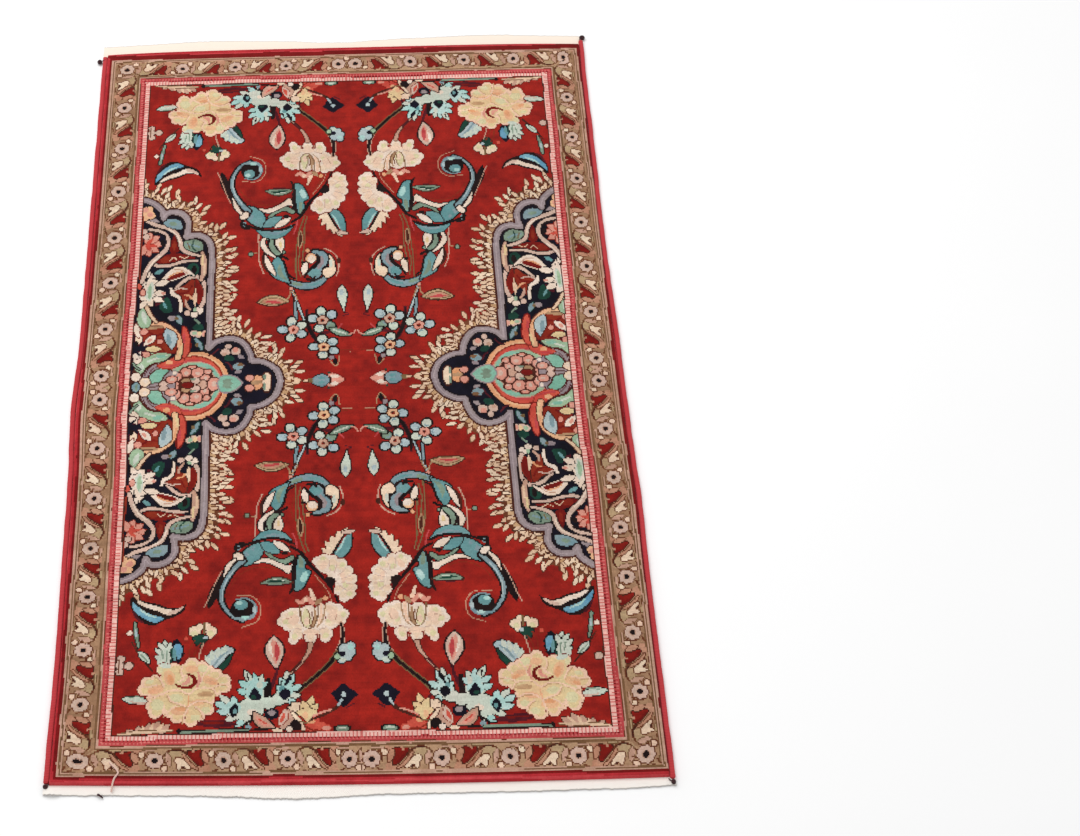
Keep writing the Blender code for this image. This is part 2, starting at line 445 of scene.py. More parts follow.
def centre_florets(c):
    """The bud on the middle line, three five-petalled florets, their leaves and the drops."""
    c.leaf("19,1 54,1", 26, "pink wine", 0.62)
    c.leaf("28,7 44,8", 8, "ivory")
    c.blob(43, 2, 2.6, 6, "umber")
    c.leaf("44,2 73,2", 21, "slate ink 2.2", 0.42)
    c.leaf("50,4 62,5", 7, "teal")
    c.leaf("68,2 82,2", 4.5, "olive")
    c.dots("45,16", 2.2, "forest")
    c.stroke("29,50 30,38 34,29 40,34 44,42", 2, "tan")
    c.leaf("38,48 34,30", 8, "ink")
    c.dots("42,47", 4, "mauve plum 1.6")
    c.stroke("10,58 26,59", 1.6, "clay")
    c.stroke("8,61 28,62", 2, "rust")
    c.stroke("62,80 70,92 77,110 80,126 80,142", [5, 6, 6, 4, 2], "ink plum 1.4")
    c.stroke("60,94 48,99 36,99", 6, "plum")
    c.stroke("84,124 90,142 97,160 104,184", [2, 3, 4, 3], "pearl ink 1.8")
    c.stroke("97,128 98,144 99,160", [5, 4, 2.4], "slate ink 1.6")
    for row in FLORETS:
        floret(c, *row)
    c.leaf("44,107 9,92", 12, "sage ink 2.6", 0.45, bend=2)
    c.stroke("38,103 26,98 18,95", 3, "mint")
    c.stroke("12,94 5,96 2,102", 2.4, "pink")
    c.stroke("30,106 24,114", 2.4, "rose")
    c.leaf("19,137 22,186", 15, "mint ink 2.2", 0.66)
    c.blob(22, 173, 3.4, 6, "pearl")
    c.stroke("20,138 12,133 22,130", 1.8, "plum")
    c.leaf("161,160 109,161", 18, "moss umber 2.4", bend=-3)
    c.leaf("155,161 115,160", 11, "clay olive 1.4", bend=-2)
    c.leaf("150,161 121,159", 5, "rose", bend=-1)
    c.strokes("95,162 99,172 104,180; 112,164 107,172 106,180", 2.2, "tan")
    c.stroke("99,160 101,170", 2, "umber")
    c.dots("105,184", 3, "pink umber 1")


def willow(c):
    """Thin drooping stems inside the arch, with a narrow bud on one of them."""
    c.strokes(
        "90,205 94,228 92,250 92,262; 97,199 98,228 97,262 93,292 84,322; "
        "88,226 86,250 84,278 84,300 79,320",
        2.2,
        "olive",
    )
    c.stroke("100,222 104,244 101,262", 1.8, "rust")
    c.leaf("92,258 90,294", 10, "tan")
    c.leaf("92,262 90,290", 5.5, "umber")
    c.stroke("102,288 98,300 96,316", 2.6, "rose")


def arabesque(c):
    """Split-leaf scroll: a teal arch with cream leaves, its hook, and the outer arc."""
    willow(c)
    c.strokes("31,204 27,218 28,236 38,250 52,258; 150,214 158,236 160,262 160,290", 2, "guard")
    c.blob(27, 233, 3.4, 6, "umber")
    c.stroke("66,209 57,220 50,233 54,246 68,253", [16, 14, 12, 11, 7], "slate ink 2.4")
    c.blob(68, 212, 10, 8, "teal")
    c.stroke("60,222 54,232 56,242", [5, 6, 4], "mauve")
    c.stroke("49,202 60,192 78,187 95,190 108,196", [7, 11, 12, 11, 8], "slate ink 2.4")
    c.stroke("55,196 66,190 78,188", [3, 6, 3], "teal")
    c.stroke("90,190 101,193", 6, "sage")
    c.leaf("107,194 129,245", 25, "teal ink 2.6", 0.58, bend=-9)
    c.leaf("111,199 124,232", 8, "sage", bend=-6)
    c.stroke("100,202 110,210 115,226 118,238", [3, 4, 4, 2], "ink")
    c.stroke("66,205 70,199 80,200", [3, 5, 4], "ink")
    c.stroke("84,204 77,216 67,226 60,237 63,247", [3, 5, 5, 5, 3], "ink")
    c.patch("39,204 48,202 54,212 50,219 42,222 40,232 44,246 36,236 33,222 33,211", "cream ink 2.2")
    c.blob(40, 228, 3, 8, "mint")
    c.stroke("54,206 54,218 46,226 44,236", [3, 3, 3, 2], "ink")
    c.leaf("86,208 80,236", 10, "ivory ink 1.6")
    c.blobs((73, 240, 8.5, 9, "peach ink 1.8"), (72, 238, 7, 7, "ivory"), (86, 233, 4, 2.4, "ink"))
    c.stroke("58,255 66,257 75,254", 4, "ink")
    c.dots("79,255", 3.2, "orange umber 1")
    c.leaf("144,216 152,254", 10, "umber", bend=-1)
    c.leaf("130,209 149,249", 9, "ivory ink 1.8", bend=-2)
    c.stroke("112,240 120,245 132,247", 4.6, "ink")
    c.stroke("119,253 130,253 138,264 141,284", [5, 8, 8, 9], "sage ink 2")
    c.leaf("122,252 127,287", 15, "ivory ink 2", 0.6)
    c.blob(124, 268, 2.6, 6, "yellow")
    c.stroke("133,245 146,256 153,270 149,284", [3, 7, 8, 4], "ivory ink 2")
    c.stroke("145,268 142,280 150,287", 3.4, "ink")
    c.stroke("106,302 118,292 132,287 148,289 161,297", [5, 12, 14, 12, 5], "teal ink 1.4")
    c.stroke("114,296 130,290 146,292", [3, 5, 3], "slate")
    # body below the arch, the outer arc and its curl
    c.leaf("148,304 196,345", 27, "teal ink 2.6", 0.42, bend=4)
    c.leaf("160,308 186,330", 9, "slate", bend=3)
    c.leaf("158,330 172,312", 9, "teal")
    arc = "178,334 193,352 203,372 208,390 205,408 194,426 176,438"
    c.stroke(arc, [8, 6.4, 5.6, 5.4, 5, 4.4, 3], "slate ink 3.2")
    c.stroke("189,348 200,367 206,388 204,406", [2, 2.4, 2, 1.6], "pearl")
    c.stroke("176,302 186,306 188,318", [4, 9, 5], "ink")
    c.blobs((184, 310, 3.4, 4, "slate"), (184, 326, 8, 6, "ivory ink 2.2", -40))
    c.stroke("190,331 199,343 206,360", [4, 7, 3], "ivory ink 2.2")
    c.leaf("203,348 226,416", 15, "ink", 0.62, bend=-2)
    c.stroke("209,352 218,374 226,398 233,414", 1.6, "guard")
    c.blob(174, 418, 19, 20, "ink")
    c.stroke("186,402 172,400 160,408 157,420 163,431 176,434 190,432", [2, 2.6, 3, 4, 6, 7, 3], "slate")
    c.blobs((159, 420, 2.6, 6, "pearl"), (178, 411, 9.6, 8.4, "teal"), (181, 408, 5, 3.4, "aqua"))
    c.stroke("167,423 177,424 188,420", 3.4, "ink")
    c.blob(172, 432, 6, 3, "aqua")
    c.stroke("190,396 164,396 150,414 155,438 178,449", 1.6, "clay")
    # the inner branch
    c.stroke("100,306 114,299 134,296 158,299 190,312", [3, 4.5, 4.5, 4.5, 4], "ink")
    c.stroke("104,331 116,338 130,334 142,322", [7, 8, 7, 4], "sage ink 2")
    c.leaf("122,322 152,303", 17, "teal ink 2")
    c.leaf("107,320 133,301", 11, "ivory ink 1.8")
    c.blob(115, 323, 5, 3.4, "ink")
    c.patch(
        "101,336 106,345 118,342 134,334 146,331 163,340 148,338 134,342 120,350 108,358",
        "ivory ink 1.8",
    )
    c.stroke("128,350 146,346 164,348 182,360 194,378", 1.8, "rust")
    c.patch("92,326 96,340 98,356 99,372 100,388 88,384 80,368 77,356 85,350 84,336", "teal ink 2.2")
    c.stroke("91,330 90,346", [5, 7], "sage")
    c.blob(86, 366, 5, 10, "aqua", -18)
    c.stroke("95,326 101,344 101,364 102,382 107,393", [4, 6, 6, 5, 3], "ink")
    c.leaf("104,374 150,374", 12, "sage umber 2.6", bend=-3)
    c.leaf("112,374 142,372", 5, "forest", bend=-2)
    c.stroke("116,370 132,368", 1.6, "mint")
    c.stroke("110,377 128,379 146,377", 1.8, "plum")
    c.stroke("163,254 170,252", 2, "tan")
    c.dots("173,252", 3.4, "sage umber 2")


def lobed(c, rim_lobes, body, pull):
    """Ivory lobes with one wine outline. On each outer lobe lies a smaller cream one, drawn
    towards the middle (a, b) by a share of the way and less in radius by the inset."""
    c.cluster(rim_lobes + " " + body, "ivory wine 1.5")
    middle_a, middle_b, share, inset = pull
    for a, b, r in points_of(rim_lobes):
        c.blob(a + (middle_a - a) * share, b + (middle_b - b) * share, r - inset, r - inset, "cream")


def fan_and_leaf(c):
    """Serrated two-colour leaf and the fan of cream lobes on its dark stem."""
    c.leaf("52,342 17,284", 33, "teal ink 2.4", half=-1)
    c.leaf("40,326 24,294", 7, "aqua", half=-1)
    c.leaf("54,344 20,280", 42, "cream umber 1.6", 0.42, teeth=6, bite=0.42, half=1)
    c.stroke("24,288 35,308 48,334", [2, 4, 4], "ink")
    c.leaf("31,289 10,286", 7, "petal umber 1.4")
    stem = "106,311 92,320 84,332 76,346 62,364 50,380 41,396 36,412 34,424"
    c.stroke(stem, [4, 5, 6, 6.5, 5, 4, 4, 3.6, 3.4], "ink")
    c.stroke("70,364 60,378 50,394 46,408", 1.4, "clay")
    c.stroke("68,372 58,388 52,400", 1.8, "rust")
    lobed(
        c,
        "66,338,8 57,333,8 45,336,8.5 32,343,9 22,355,8.5 16,369,8 17,384,8.5 19,396,8.5 27,402,8 "
        "35,390,8",
        "52,346,15 38,358,15 28,378,13 60,346,9 24,366,9 25,393,9",
        (40, 366, 0.14, 2.4),
    )
    c.cluster("58,333,4 30,345,4.5 26,380,5 20,396,4 46,350,5", "celadon")
    c.blobs((29, 366, 4, 8, "blush", 14), (58, 346, 5, 8, "blush", -30))
    for a, b in points_of("50,336 38,343 26,352 18,364 18,378 24,390"):
        c.stroke([(a * 0.5 + 23, b * 0.5 + 186), (a, b)], 1.6, "petal")
    c.patch("42,368 56,366 50,378 46,384 42,378", "ink")


def peony(c):
    """Cream peony with a tulip cup at its middle, and its pink crown."""
    c.dots("55,403", 3.8, "orange rust 1.4")
    c.stroke("78,386 75,394 73,404", [3.4, 5, 8], "blush rust 1.4")
    c.stroke("74,410 82,402 90,409 97,406", [8, 7, 8, 5], "pink rust 1.4")
    c.dots("72,402 84,404", 3.4, "rind")
    c.leaf("70,414 60,402", 8, "tan")
    lobed(
        c,
        "30,430,9 38,421,9 48,418,9 34,440,9 46,445,9.5 104,426,8.5 113,430,7.5 118,440,8 108,448,9 "
        "97,452,8 54,462,9 56,470,7.5 77,469,8.5 76,477,4.6 98,463,9.5 102,472,7",
        "60,424,11 80,426,12 76,440,21 94,430,12 66,456,7 88,456,7 46,433,9 57,445,8 104,438,9",
        (76, 438, 0.1, 2.6),
    )
    c.cluster("29,431,4.4 50,441,4 112,441,5 105,427,4 56,466,4.6 100,466,4.6", "celadon")
    c.blobs((45, 431, 6, 11, "blush", -20), (76, 460, 12, 5, "blush"), (101, 438, 8, 9, "blush", -20))
    c.strokes("38,430 42,440; 104,434 112,436; 67,462 65,470; 88,462 89,470", 1.6, "guard")
    c.stroke("55,414 57,428 60,441 68,451", 2.2, "tan")
    c.stroke("61,413 61,428 65,444", 4.4, "rind")
    c.stroke("66,416 66,432 70,446 78,453 87,447 91,432 92,416", 2.4, "shade")
    c.stroke("71,421 70,434 74,448", [3, 5, 5], "tan")
    c.stroke("75,426 73,438 77,449", 2, "bark")
    c.leaf("81,452 84,418", 14, "celadon", 0.42)
    c.blob(82, 441, 4, 7, "blush")
    c.stroke("78,446 77,434 81,421", 1.8, "shade")
    c.strokes("55,452 66,457; 88,457 98,452", 1.8, "petal")
    # stems below and the leaf between
    c.stroke("33,446 31,462 33,481 39,496", [3, 5, 6, 6], "ink guard 1.4")
    c.stroke("39,496 49,510 62,524 76,538 88,549 97,561", [6, 5.5, 5, 5, 4.5, 4], "ink olive 1.6")
    c.stroke("77,480 80,492 88,506 101,522 112,534", [7, 5, 3.4, 2.4, 2], "guard umber 1.6")
    c.stroke("90,508 101,522", 2.4, "plum")
    c.leaf("126,520 131,464", 26, "petal ink 2.8", 0.58, bend=1)
    c.leaf("127,512 132,470", 15, "pink", 0.56, bend=-1)
    c.leaf("126,506 127,474", 8, "rose")
    c.stroke("137,474 136,486 132,498", [4, 5, 2], "ivory")
    c.stroke("126,518 128,532 134,548 138,562", [2, 5, 7, 5], "plum")
    c.cluster("20,484,6.5 19,494,6.5 24,502,6.5 33,506,6 30,488,7 26,494,8", "pearl ink 2.2")
    c.blobs(
        (20, 486, 4.6, 5, "aqua"), (31, 507, 5, 3.6, "mint"), (39, 501, 4, 5, "leafgreen ink 1.4"),
        (32, 497, 4.6, 4.4, "navy"),
    )


def corner_leaves(c):
    """Crescent leaf, trefoil bud and the serrated leaves on the big flower's shoulders."""
    c.patch(
        "259,406 268,413 284,414 300,407 320,401 334,393 341,397 339,413 331,429 319,440 304,442 "
        "290,435 274,428 264,420",
        "ink",
    )
    c.patch(
        "266,412 276,417 290,415 302,410 320,404 333,396 327,406 314,414 300,419 290,425 278,424 270,419",
        "ivory",
    )
    c.patch("263,411 272,416 284,420 286,426 276,424 268,418", "petal")
    c.patch("291,431 306,426 320,419 330,409 338,400 337,412 330,422 320,431 308,437 299,437", "blue")
    c.stroke("302,430 316,424 326,415", [2, 4, 2], "aqua")
    c.stroke("322,437 330,430 336,418", [3, 5, 3], "plum")
    c.stroke("333,438 331,456 326,478", [4, 6, 3], "sage ink 1.8")
    c.blob(331, 455, 1.8, 7, "pearl", 6)
    c.dots("340,455", 3.8, "ivory wine 1.6")
    c.stroke("336,470 327,486 316,502 303,518", [2, 3.4, 3.4, 3], "umber")
    c.cluster("221,454,8 228,445,5.5 245,453,8.5 238,446,5 224,462,5", "cream umber 1.6")
    c.cluster("222,457,4.6 245,457,5", "celadon")
    c.stroke("232,440 232,456", 3.6, "olive")
    c.patch("226,464 236,459 246,464 244,472 238,479 230,472", "forest ink 1.5")
    c.blob(229, 464, 3.6, 3, "pearl")
    c.strokes("236,473 243,488 244,500; 244,468 250,482 251,498", 2, "rust")
    c.stroke("232,474 236,488 238,500", 2, "guard")
    c.dots("257,466", 3, "coral rust 1")
    c.leaf("271,510 270,467", 25, "navy ink 1.2", teeth=4, bite=0.25)
    c.patch("262,480 268,474 273,478 270,490 266,500 262,492", "blue")
    c.leaf("271,503 274,480", 7, "teal")
    shoulder = "284,484 288,468; 286,488 297,472; 288,494 302,481; 288,502 301,494; 281,488 279,472"
    c.leaves(shoulder, 8, "mint ink 1.5", 0.45)
    c.patch("277,506 279,492 283,482 290,482 296,490 297,508", "mint")
    c.strokes("284,486 283,498 286,508; 291,486 289,498", 2.2, "sage")
    c.stroke("277,484 276,496 278,506", 3, "forest")
    c.patch(
        "188,486 198,480 208,483 218,488 226,497 226,512 220,522 212,521 204,511 196,500",
        "pearl ink 2",
    )
    c.leaves("204,498 200,478; 211,500 210,480; 218,504 220,485; 221,512 228,494", 8, "mint")
    c.stroke("196,488 206,497 216,512", [2, 4, 3], "slate")
    c.patch("191,492 198,500 206,511 214,521 207,523 198,514 193,503", "forest ink 1.6")
    c.leaf("308,505 326,486", 10, "mint ink 1.8")
    c.stroke("311,503 322,491", 1.8, "sage")
    c.leaf("302,570 345,564", 12, "mint ink 2", 0.6)
    c.stroke("314,562 324,561 334,562", 2, "sage")
    c.stroke("304,572 318,572 332,569", [3, 4, 2], "petal")
    c.cluster("338,509,6 350,498,5.5 351,519,5.5 351,508,6", "petal umber 1.6")
    c.stroke("353,498 353,520", 2, "bark")
    tuft = "292,620 276,606; 300,618 290,600; 308,620 304,603; 318,622 320,608; 328,623 336,613"
    c.leaves(tuft, 11, "guard umber 1.5", 0.45)
    c.leaves("296,618 284,604; 304,618 298,602; 314,620 314,608", 5, "flame")
    c.stroke("272,616 300,617 326,618 348,621", [2, 4, 4, 2], "flame shade 1.2")
    c.leaf("178,608 246,604", 13, "plum")
    c.stroke("200,605 230,604", 3, "wine")
    c.stroke("166,618 215,618 262,619", 3.6, "sage ink 1.4")
    c.dots("263,617", 3.4, "ink")


def corner_flower(c):
    """The big pale flower of each corner: lobes with pink rims round yellow petals."""
    corner_leaves(c)
    lobes = (
        "247,507,9.5 233,512,9 223,519,8 212,526,9 200,536,9.5 200,547,9.5 211,554,8 222,568,9 "
        "223,583,9.5 235,593,8.5 246,601,9.5 266,595,9.5 276,588,7 297,586,10 302,576,9 300,563,9 "
        "313,549,10.5 309,537,9.5 299,531,7 288,515,9.5 272,514,8.5"
    )
    c.cluster(lobes + " 250,540,32 268,552,34 246,570,25 272,572,22", "rind wine 1.3")
    inset = 2.6
    for a, b, r in points_of(lobes):
        steps = math.hypot(256 - a, 552 - b) / inset
        c.blob(a + (256 - a) / steps, b + (552 - b) / steps, r - inset, r - inset, "yellow")
    c.blobs((255, 550, 47, 31, "yellow"), (250, 574, 34, 20, "yellow"), (262, 526, 28, 16, "yellow"))
    # warm roots of the back petals, cool tips
    c.blobs(
        (220, 536, 13, 6, "peach", -24), (216, 540, 6, 3, "orange", -24), (247, 516, 9, 6, "peach"),
        (278, 530, 8, 13, "peach", 14), (277, 533, 4.4, 9, "orange", 14), (297, 549, 12, 7, "peach", 18),
        (303, 552, 6, 3, "orange", 18), (306, 536, 5.5, 3.6, "celadon", 20), (202, 544, 5, 4, "celadon"),
        (285, 510, 9, 4, "mint", -10), (292, 517, 4, 6, "celadon"), (230, 516, 8, 6, "celadon", -20),
        (226, 558, 12, 4.4, "sand"), (236, 571, 12, 5, "peach", 8), (262, 585, 13, 7, "peach", -6),
        (262, 581, 8, 3.4, "orange", -6), (268, 563, 10, 6, "celadon", -10), (226, 584, 7, 5, "celadon"),
        (294, 574, 9, 9, "celadon"), (240, 596, 7, 5, "celadon"),
    )
    seams = (
        "259,509 262,519 259,528; 223,516 230,526 233,538; 192,542 204,543 214,547; "
        "298,525 290,534 285,545; 308,562 297,560 285,556; 228,596 232,586 240,579; "
        "256,604 256,592 252,581; 283,592 277,583 268,577; 318,544 306,544 296,541; "
        "210,560 215,550 228,547 240,549 250,557 262,551 276,551 292,558 300,564; "
        "216,574 228,569 240,570 250,577; 252,578 262,574 274,568 280,558"
    )
    for seam in seams.split(";"):
        c.stroke(points_of(seam) + (1.5, 1.6), 1.7, "sand")
        c.stroke(seam, 2.6, "rind")
    # curl at the heart
    c.stroke("238,522 235,533 239,546", [2, 5, 3], "pink")
    c.stroke("252,524 244,529 242,538 248,545 259,546 269,541", [3, 5, 6.4, 6, 4.4, 3], "wine")
    c.stroke("251,530 252,537 259,541", [4, 6, 4.6], "pink")
    c.stroke("256,527 259,533 266,537", [4, 4, 2], "rind")
    c.stroke("250,560 250,570 252,578", [1.6, 2.6, 1.6], "orange")


def aqua_blossoms(c):
    """The serrated aqua blossoms at the middle of each end."""
    c.stroke("96,560 90,572 86,586", 4, "plum")
    c.stroke("138,536 137,562", [7, 8], "ink")
    c.cluster(
        "113,555,13 110,542,8 107,566,9 122,568,10 136,574,10 148,574,10 157,558,14 159,545,11 "
        "166,580,13 174,592,11 170,600,9 188,582,13 150,586,7 196,574,8",
        "mint ink 2",
    )
    spikes = (
        "109,544 101,528; 112,542 111,522; 115,546 122,534; 104,554 90,546; 106,564 91,562; "
        "116,554 126,546; 108,570 98,576; 152,544 146,528; 152,550 139,540; 157,542 158,526; "
        "162,540 173,521; 166,548 180,538; 168,558 181,552; 192,574 206,560; 198,580 214,570; "
        "194,588 210,586; 182,594 198,602; 172,602 184,612; 184,574 188,562"
    )
    for k, spike in enumerate(spikes.split(";")):
        c.leaf(spike, 10, "mint ink 1.6" if k % 3 == 1 else "aqua ink 1.6", 0.36)
    c.cluster("113,554,11 110,544,6 157,557,12 158,545,9 187,581,11", "aqua")
    c.blobs((118, 551, 4, 5, "teal"), (150, 545, 4, 6, "mint"))
    c.cluster("124,568,8 136,576,8 149,577,7 166,584,10 173,594,8", "mint")
    c.stroke("107,529 110,538 114,546", [3, 6, 3], "navy")
    c.leaf("113,571 114,551", 16, "navy", 0.55)
    c.blob(113, 557, 7, 4, "navy")
    c.patch("157,549 164,560 162,568 150,569 147,562 151,556", "navy")
    c.blob(158, 564, 4, 3, "forest")
    c.leaf("187,598 184,574", 13, "navy", 0.55)
    c.blob(184, 586, 3, 4, "teal")
    c.strokes("168,528 166,536; 119,538 121,546", 2.4, "ink")
    c.blob(160, 588, 7, 5, "ivory")
    end_leaves(c)


def end_leaves(c):
    """Leaves, florets and the bud along the middle of each end, below the blossoms."""
    c.leaf("104,574 118,618", 19, "guard ink 1.8", 0.6, bend=3)
    c.leaf("112,584 122,612", 12, "petal rust 1.2", bend=2)
    c.leaf("114,590 121,608", 6, "coral", bend=1)
    c.leaf("128,614 158,588", 17, "guard ink 1.8", bend=5)
    c.leaf("132,612 155,593", 8, "pink", bend=4)
    c.stroke("140,608 150,600", 2.4, "coral")
    c.blobs((132, 592, 10.5, 9, "navy"), (132, 590, 5.5, 4.6, "mauve"))
    c.stroke("114,619 135,616 160,618", [3, 4, 4], "ink")
    c.stroke("160,602 170,608 174,618", 3.4, "ink")
    c.blobs((165, 613, 4, 4, "slate"), (124, 619, 7, 3, "cream"))
    c.flower(98, 582, 9, 5, "cream ink 1.6", 0.3, 10)
    c.stroke("88,618 92,606 98,598 102,590", [5, 5, 5, 4], "cream umber 1.2")
    c.blob(98, 611, 7.5, 9, "ink", 30)
    c.dots("95,591", 3.6, "ink")
    c.dots("107,617", 4.4, "ivory ink 1.4")
    c.cluster("72,604,7 64,613,7 78,614,7 54,617,5", "coral")
    c.blobs((56, 617, 6, 3, "pink"), (76, 606, 5, 4, "orange"))
    c.stroke("62,620 74,620 84,614", 2.4, "rust")
    c.spray("82,592", "75,564 67,578 68,590 89,572 96,590 82,606", 12, "yellow umber 1.2", 0.45)
    c.blobs((82, 592, 8, 10, "yellow"), (85, 596, 4, 6, "peach"))
    c.stroke("74,602 82,607 92,606", 2.4, "olive")
    # navy bud, its stem and the small dash
    c.stroke("36,576 44,585 58,594 78,604", [5, 6, 5, 3], "umber")
    c.stroke("50,587 62,591 74,597", 3, "pink")
    c.leaf("32,583 31,545", 28, "navy")
    c.leaf("50,561 10,563", 21, "navy")
    c.blob(31, 563, 3.6, 4.2, "pearl")
    c.stroke("35,571 40,580", [4, 3], "pearl")
    c.stroke("18,578 28,584", 2.4, "plum")
    c.blobs((34, 618, 10, 4.6, "sage ink 1.8"), (34, 617, 6, 2, "mint"))


# ---------------------------------------------------------------- half medallion
# The outline as arcs that meet in cusps
MEDALLION_ARCS = (
    "123,-6 123,4 129,24 141,37 156,45 169,47",
    "169,47 172,64 181,82 194,92 211,94 228,88 239,76",
    "239,76 238,96 238,140 238,190 238,240 240,268 248,284 264,291 282,288",
    "282,288 279,302 279,317 288,331 303,337 316,335 322,326",
    "322,326 325,341 336,353 350,361 372,366",
)
# Rows of flame leaves: how far from the line they root, length, width, pitch, lean in radians
FLAME_ROWS = ((27, 18, 6.6, 9.2, 0.55), (19, 17, 6.2, 8.8, 0.6), (12, 14, 5.4, 9.2, 0.5))
FLAME_CLUSTER = 27.6
CREAM_FLAMES = 0.4


def medallion(c):
    """Half medallion on each side: flame leaves outside a mauve band, a dark ground inside.
    Each band is the places between two distances from the line, counted outwards."""
    line = np.vstack([smooth_line(points_of(arc), 6) for arc in MEDALLION_ARCS])
    beyond = 520.0
    whole = np.vstack([line, [(beyond, line[-1][1]), (beyond, line[0][1])]])
    near = np.flatnonzero((c.a > 60) & (c.b < 430))
    gap, _ = distance_to_line(c.a[near], c.b[near], line)
    inside = within(c.a[near], c.b[near], whole)
    signed = np.where(inside, -gap, gap)

    def band(low, high, name):
        c.yarn[near[(signed > low) & (signed < high)]] = YARN_NUMBER[name]

    band(0, 24, "bark")
    band(0, 16, "sand")
    flames(c, line)
    band(0, 8.2, "umber")
    band(-np.inf, 0, "navy")
    medallion_roundel(c)
    medallion_side_flowers(c)
    medallion_leaves(c)
    medallion_straps(c)
    band(-7.4, 0, "ink")
    band(-5.1, 5.1, "mauve")
    band(-0.8, 1.4, "lilac")


def flames(c, line):
    """Small flame leaves in three rows, the outermost first so that the inner ones lap over
    them. They reach further out at each cluster, and each leans its own way."""
    steps = np.hypot(*np.diff(line, axis=0).T)
    run = np.concatenate([[0], np.cumsum(steps)])
    sway = np.random.RandomState(8)
    for row, (start, length, width, pitch, lean) in enumerate(FLAME_ROWS):
        count = int(run[-1] / pitch)
        for k in range(count + 1):
            place = min(run[-1] - 0.01, k * run[-1] / count)
            swell = 0.5 + 0.5 * math.cos(math.tau * place / FLAME_CLUSTER)
            turn = sway.uniform(-lean, lean) + 0.15
            yarn = "cream" if sway.uniform() < CREAM_FLAMES else "flame"
            if row == 0 and swell < 0.25:
                continue
            at = int(np.searchsorted(run, place, side="right") - 1)
            along = (line[at + 1] - line[at]) / max(steps[at], 1e-6)
            out = np.array([-along[1], along[0]])
            reach = start - 4 + 6 * swell * (row < 2)
            root = line[at] + along * (place - run[at]) + out * reach
            tip = root + (out * math.cos(turn) + along * math.sin(turn)) * length
            edge = " bark 1.4" if k % 3 else " umber 1.4"
            c.leaf((root, tip), width, yarn + edge, 0.55)


def medallion_roundel(c):
    """The big roundel, its finial, and the petals in it."""
    c.blobs(
        (144, 5, 6.5, 13, "cream umber"), (148, 9, 2.6, 7, "sage"), (160, 6, 9, 8, "orange umber 1.6"),
        (160, 1, 9, 3, "tan"), (171, 10, 6.5, 6.5, "pink umber 1.6"),
    )
    c.leaf("181,38 200,33", 15, "slate umber 1.4")
    c.blob(187, 39, 5, 3.6, "shade")
    c.leaf("184,26 196,22", 7, "mauve")
    c.stroke("200,30 204,40 210,46", 3, "plum")
    c.blobs(
        (262, 0, 61, 72.5, "ink"), (262, 0, 58.5, 70.5, "orange"), (263, 2, 53.5, 63.5, "peach"),
        (263, 0, 52, 62, "rust"), (263, 1, 49, 58.5, "coral"), (264, -1, 47, 54.5, "rose"),
        (262, -2, 47, 52, "guard"), (262, -1, 45, 49, "leafgreen"), (250, 0, 30, 46, "jade"),
        (262, -1, 38.5, 41, "guard"), (262, -1, 36.5, 39, "umber"),
    )
    petals = (
        "229,4,9,9 243,15,7,9 239,27,6,5 256,26,10,10 275,27,8.5,9.5 288,18,7,9 265,38,6,3 292,4,7,7"
    )
    for a, b, ra, rb in points_of(petals):
        c.blobs((a, b, ra, rb, "pink umber 2.2"), (a - 1, b - 2, ra * 0.4, rb * 0.4, "petal"))
    c.blobs(
        (247, 3, 7, 6, "guard umber 1.6"), (259, 8, 8, 7, "petal umber 1.6"), (262, 12, 5, 2, "sage"),
        (273, 9, 7, 5, "tan umber 1.4"), (270, 0, 9, 6, "wine umber 1.6"),
    )
    c.patch("184,-6 187,5 195,13 206,17 215,15 219,8 219,-6", "jade mauve 2.6")
    c.blobs((205, 4, 9, 6, "sage"), (196, 5, 5, 4, "jade"))


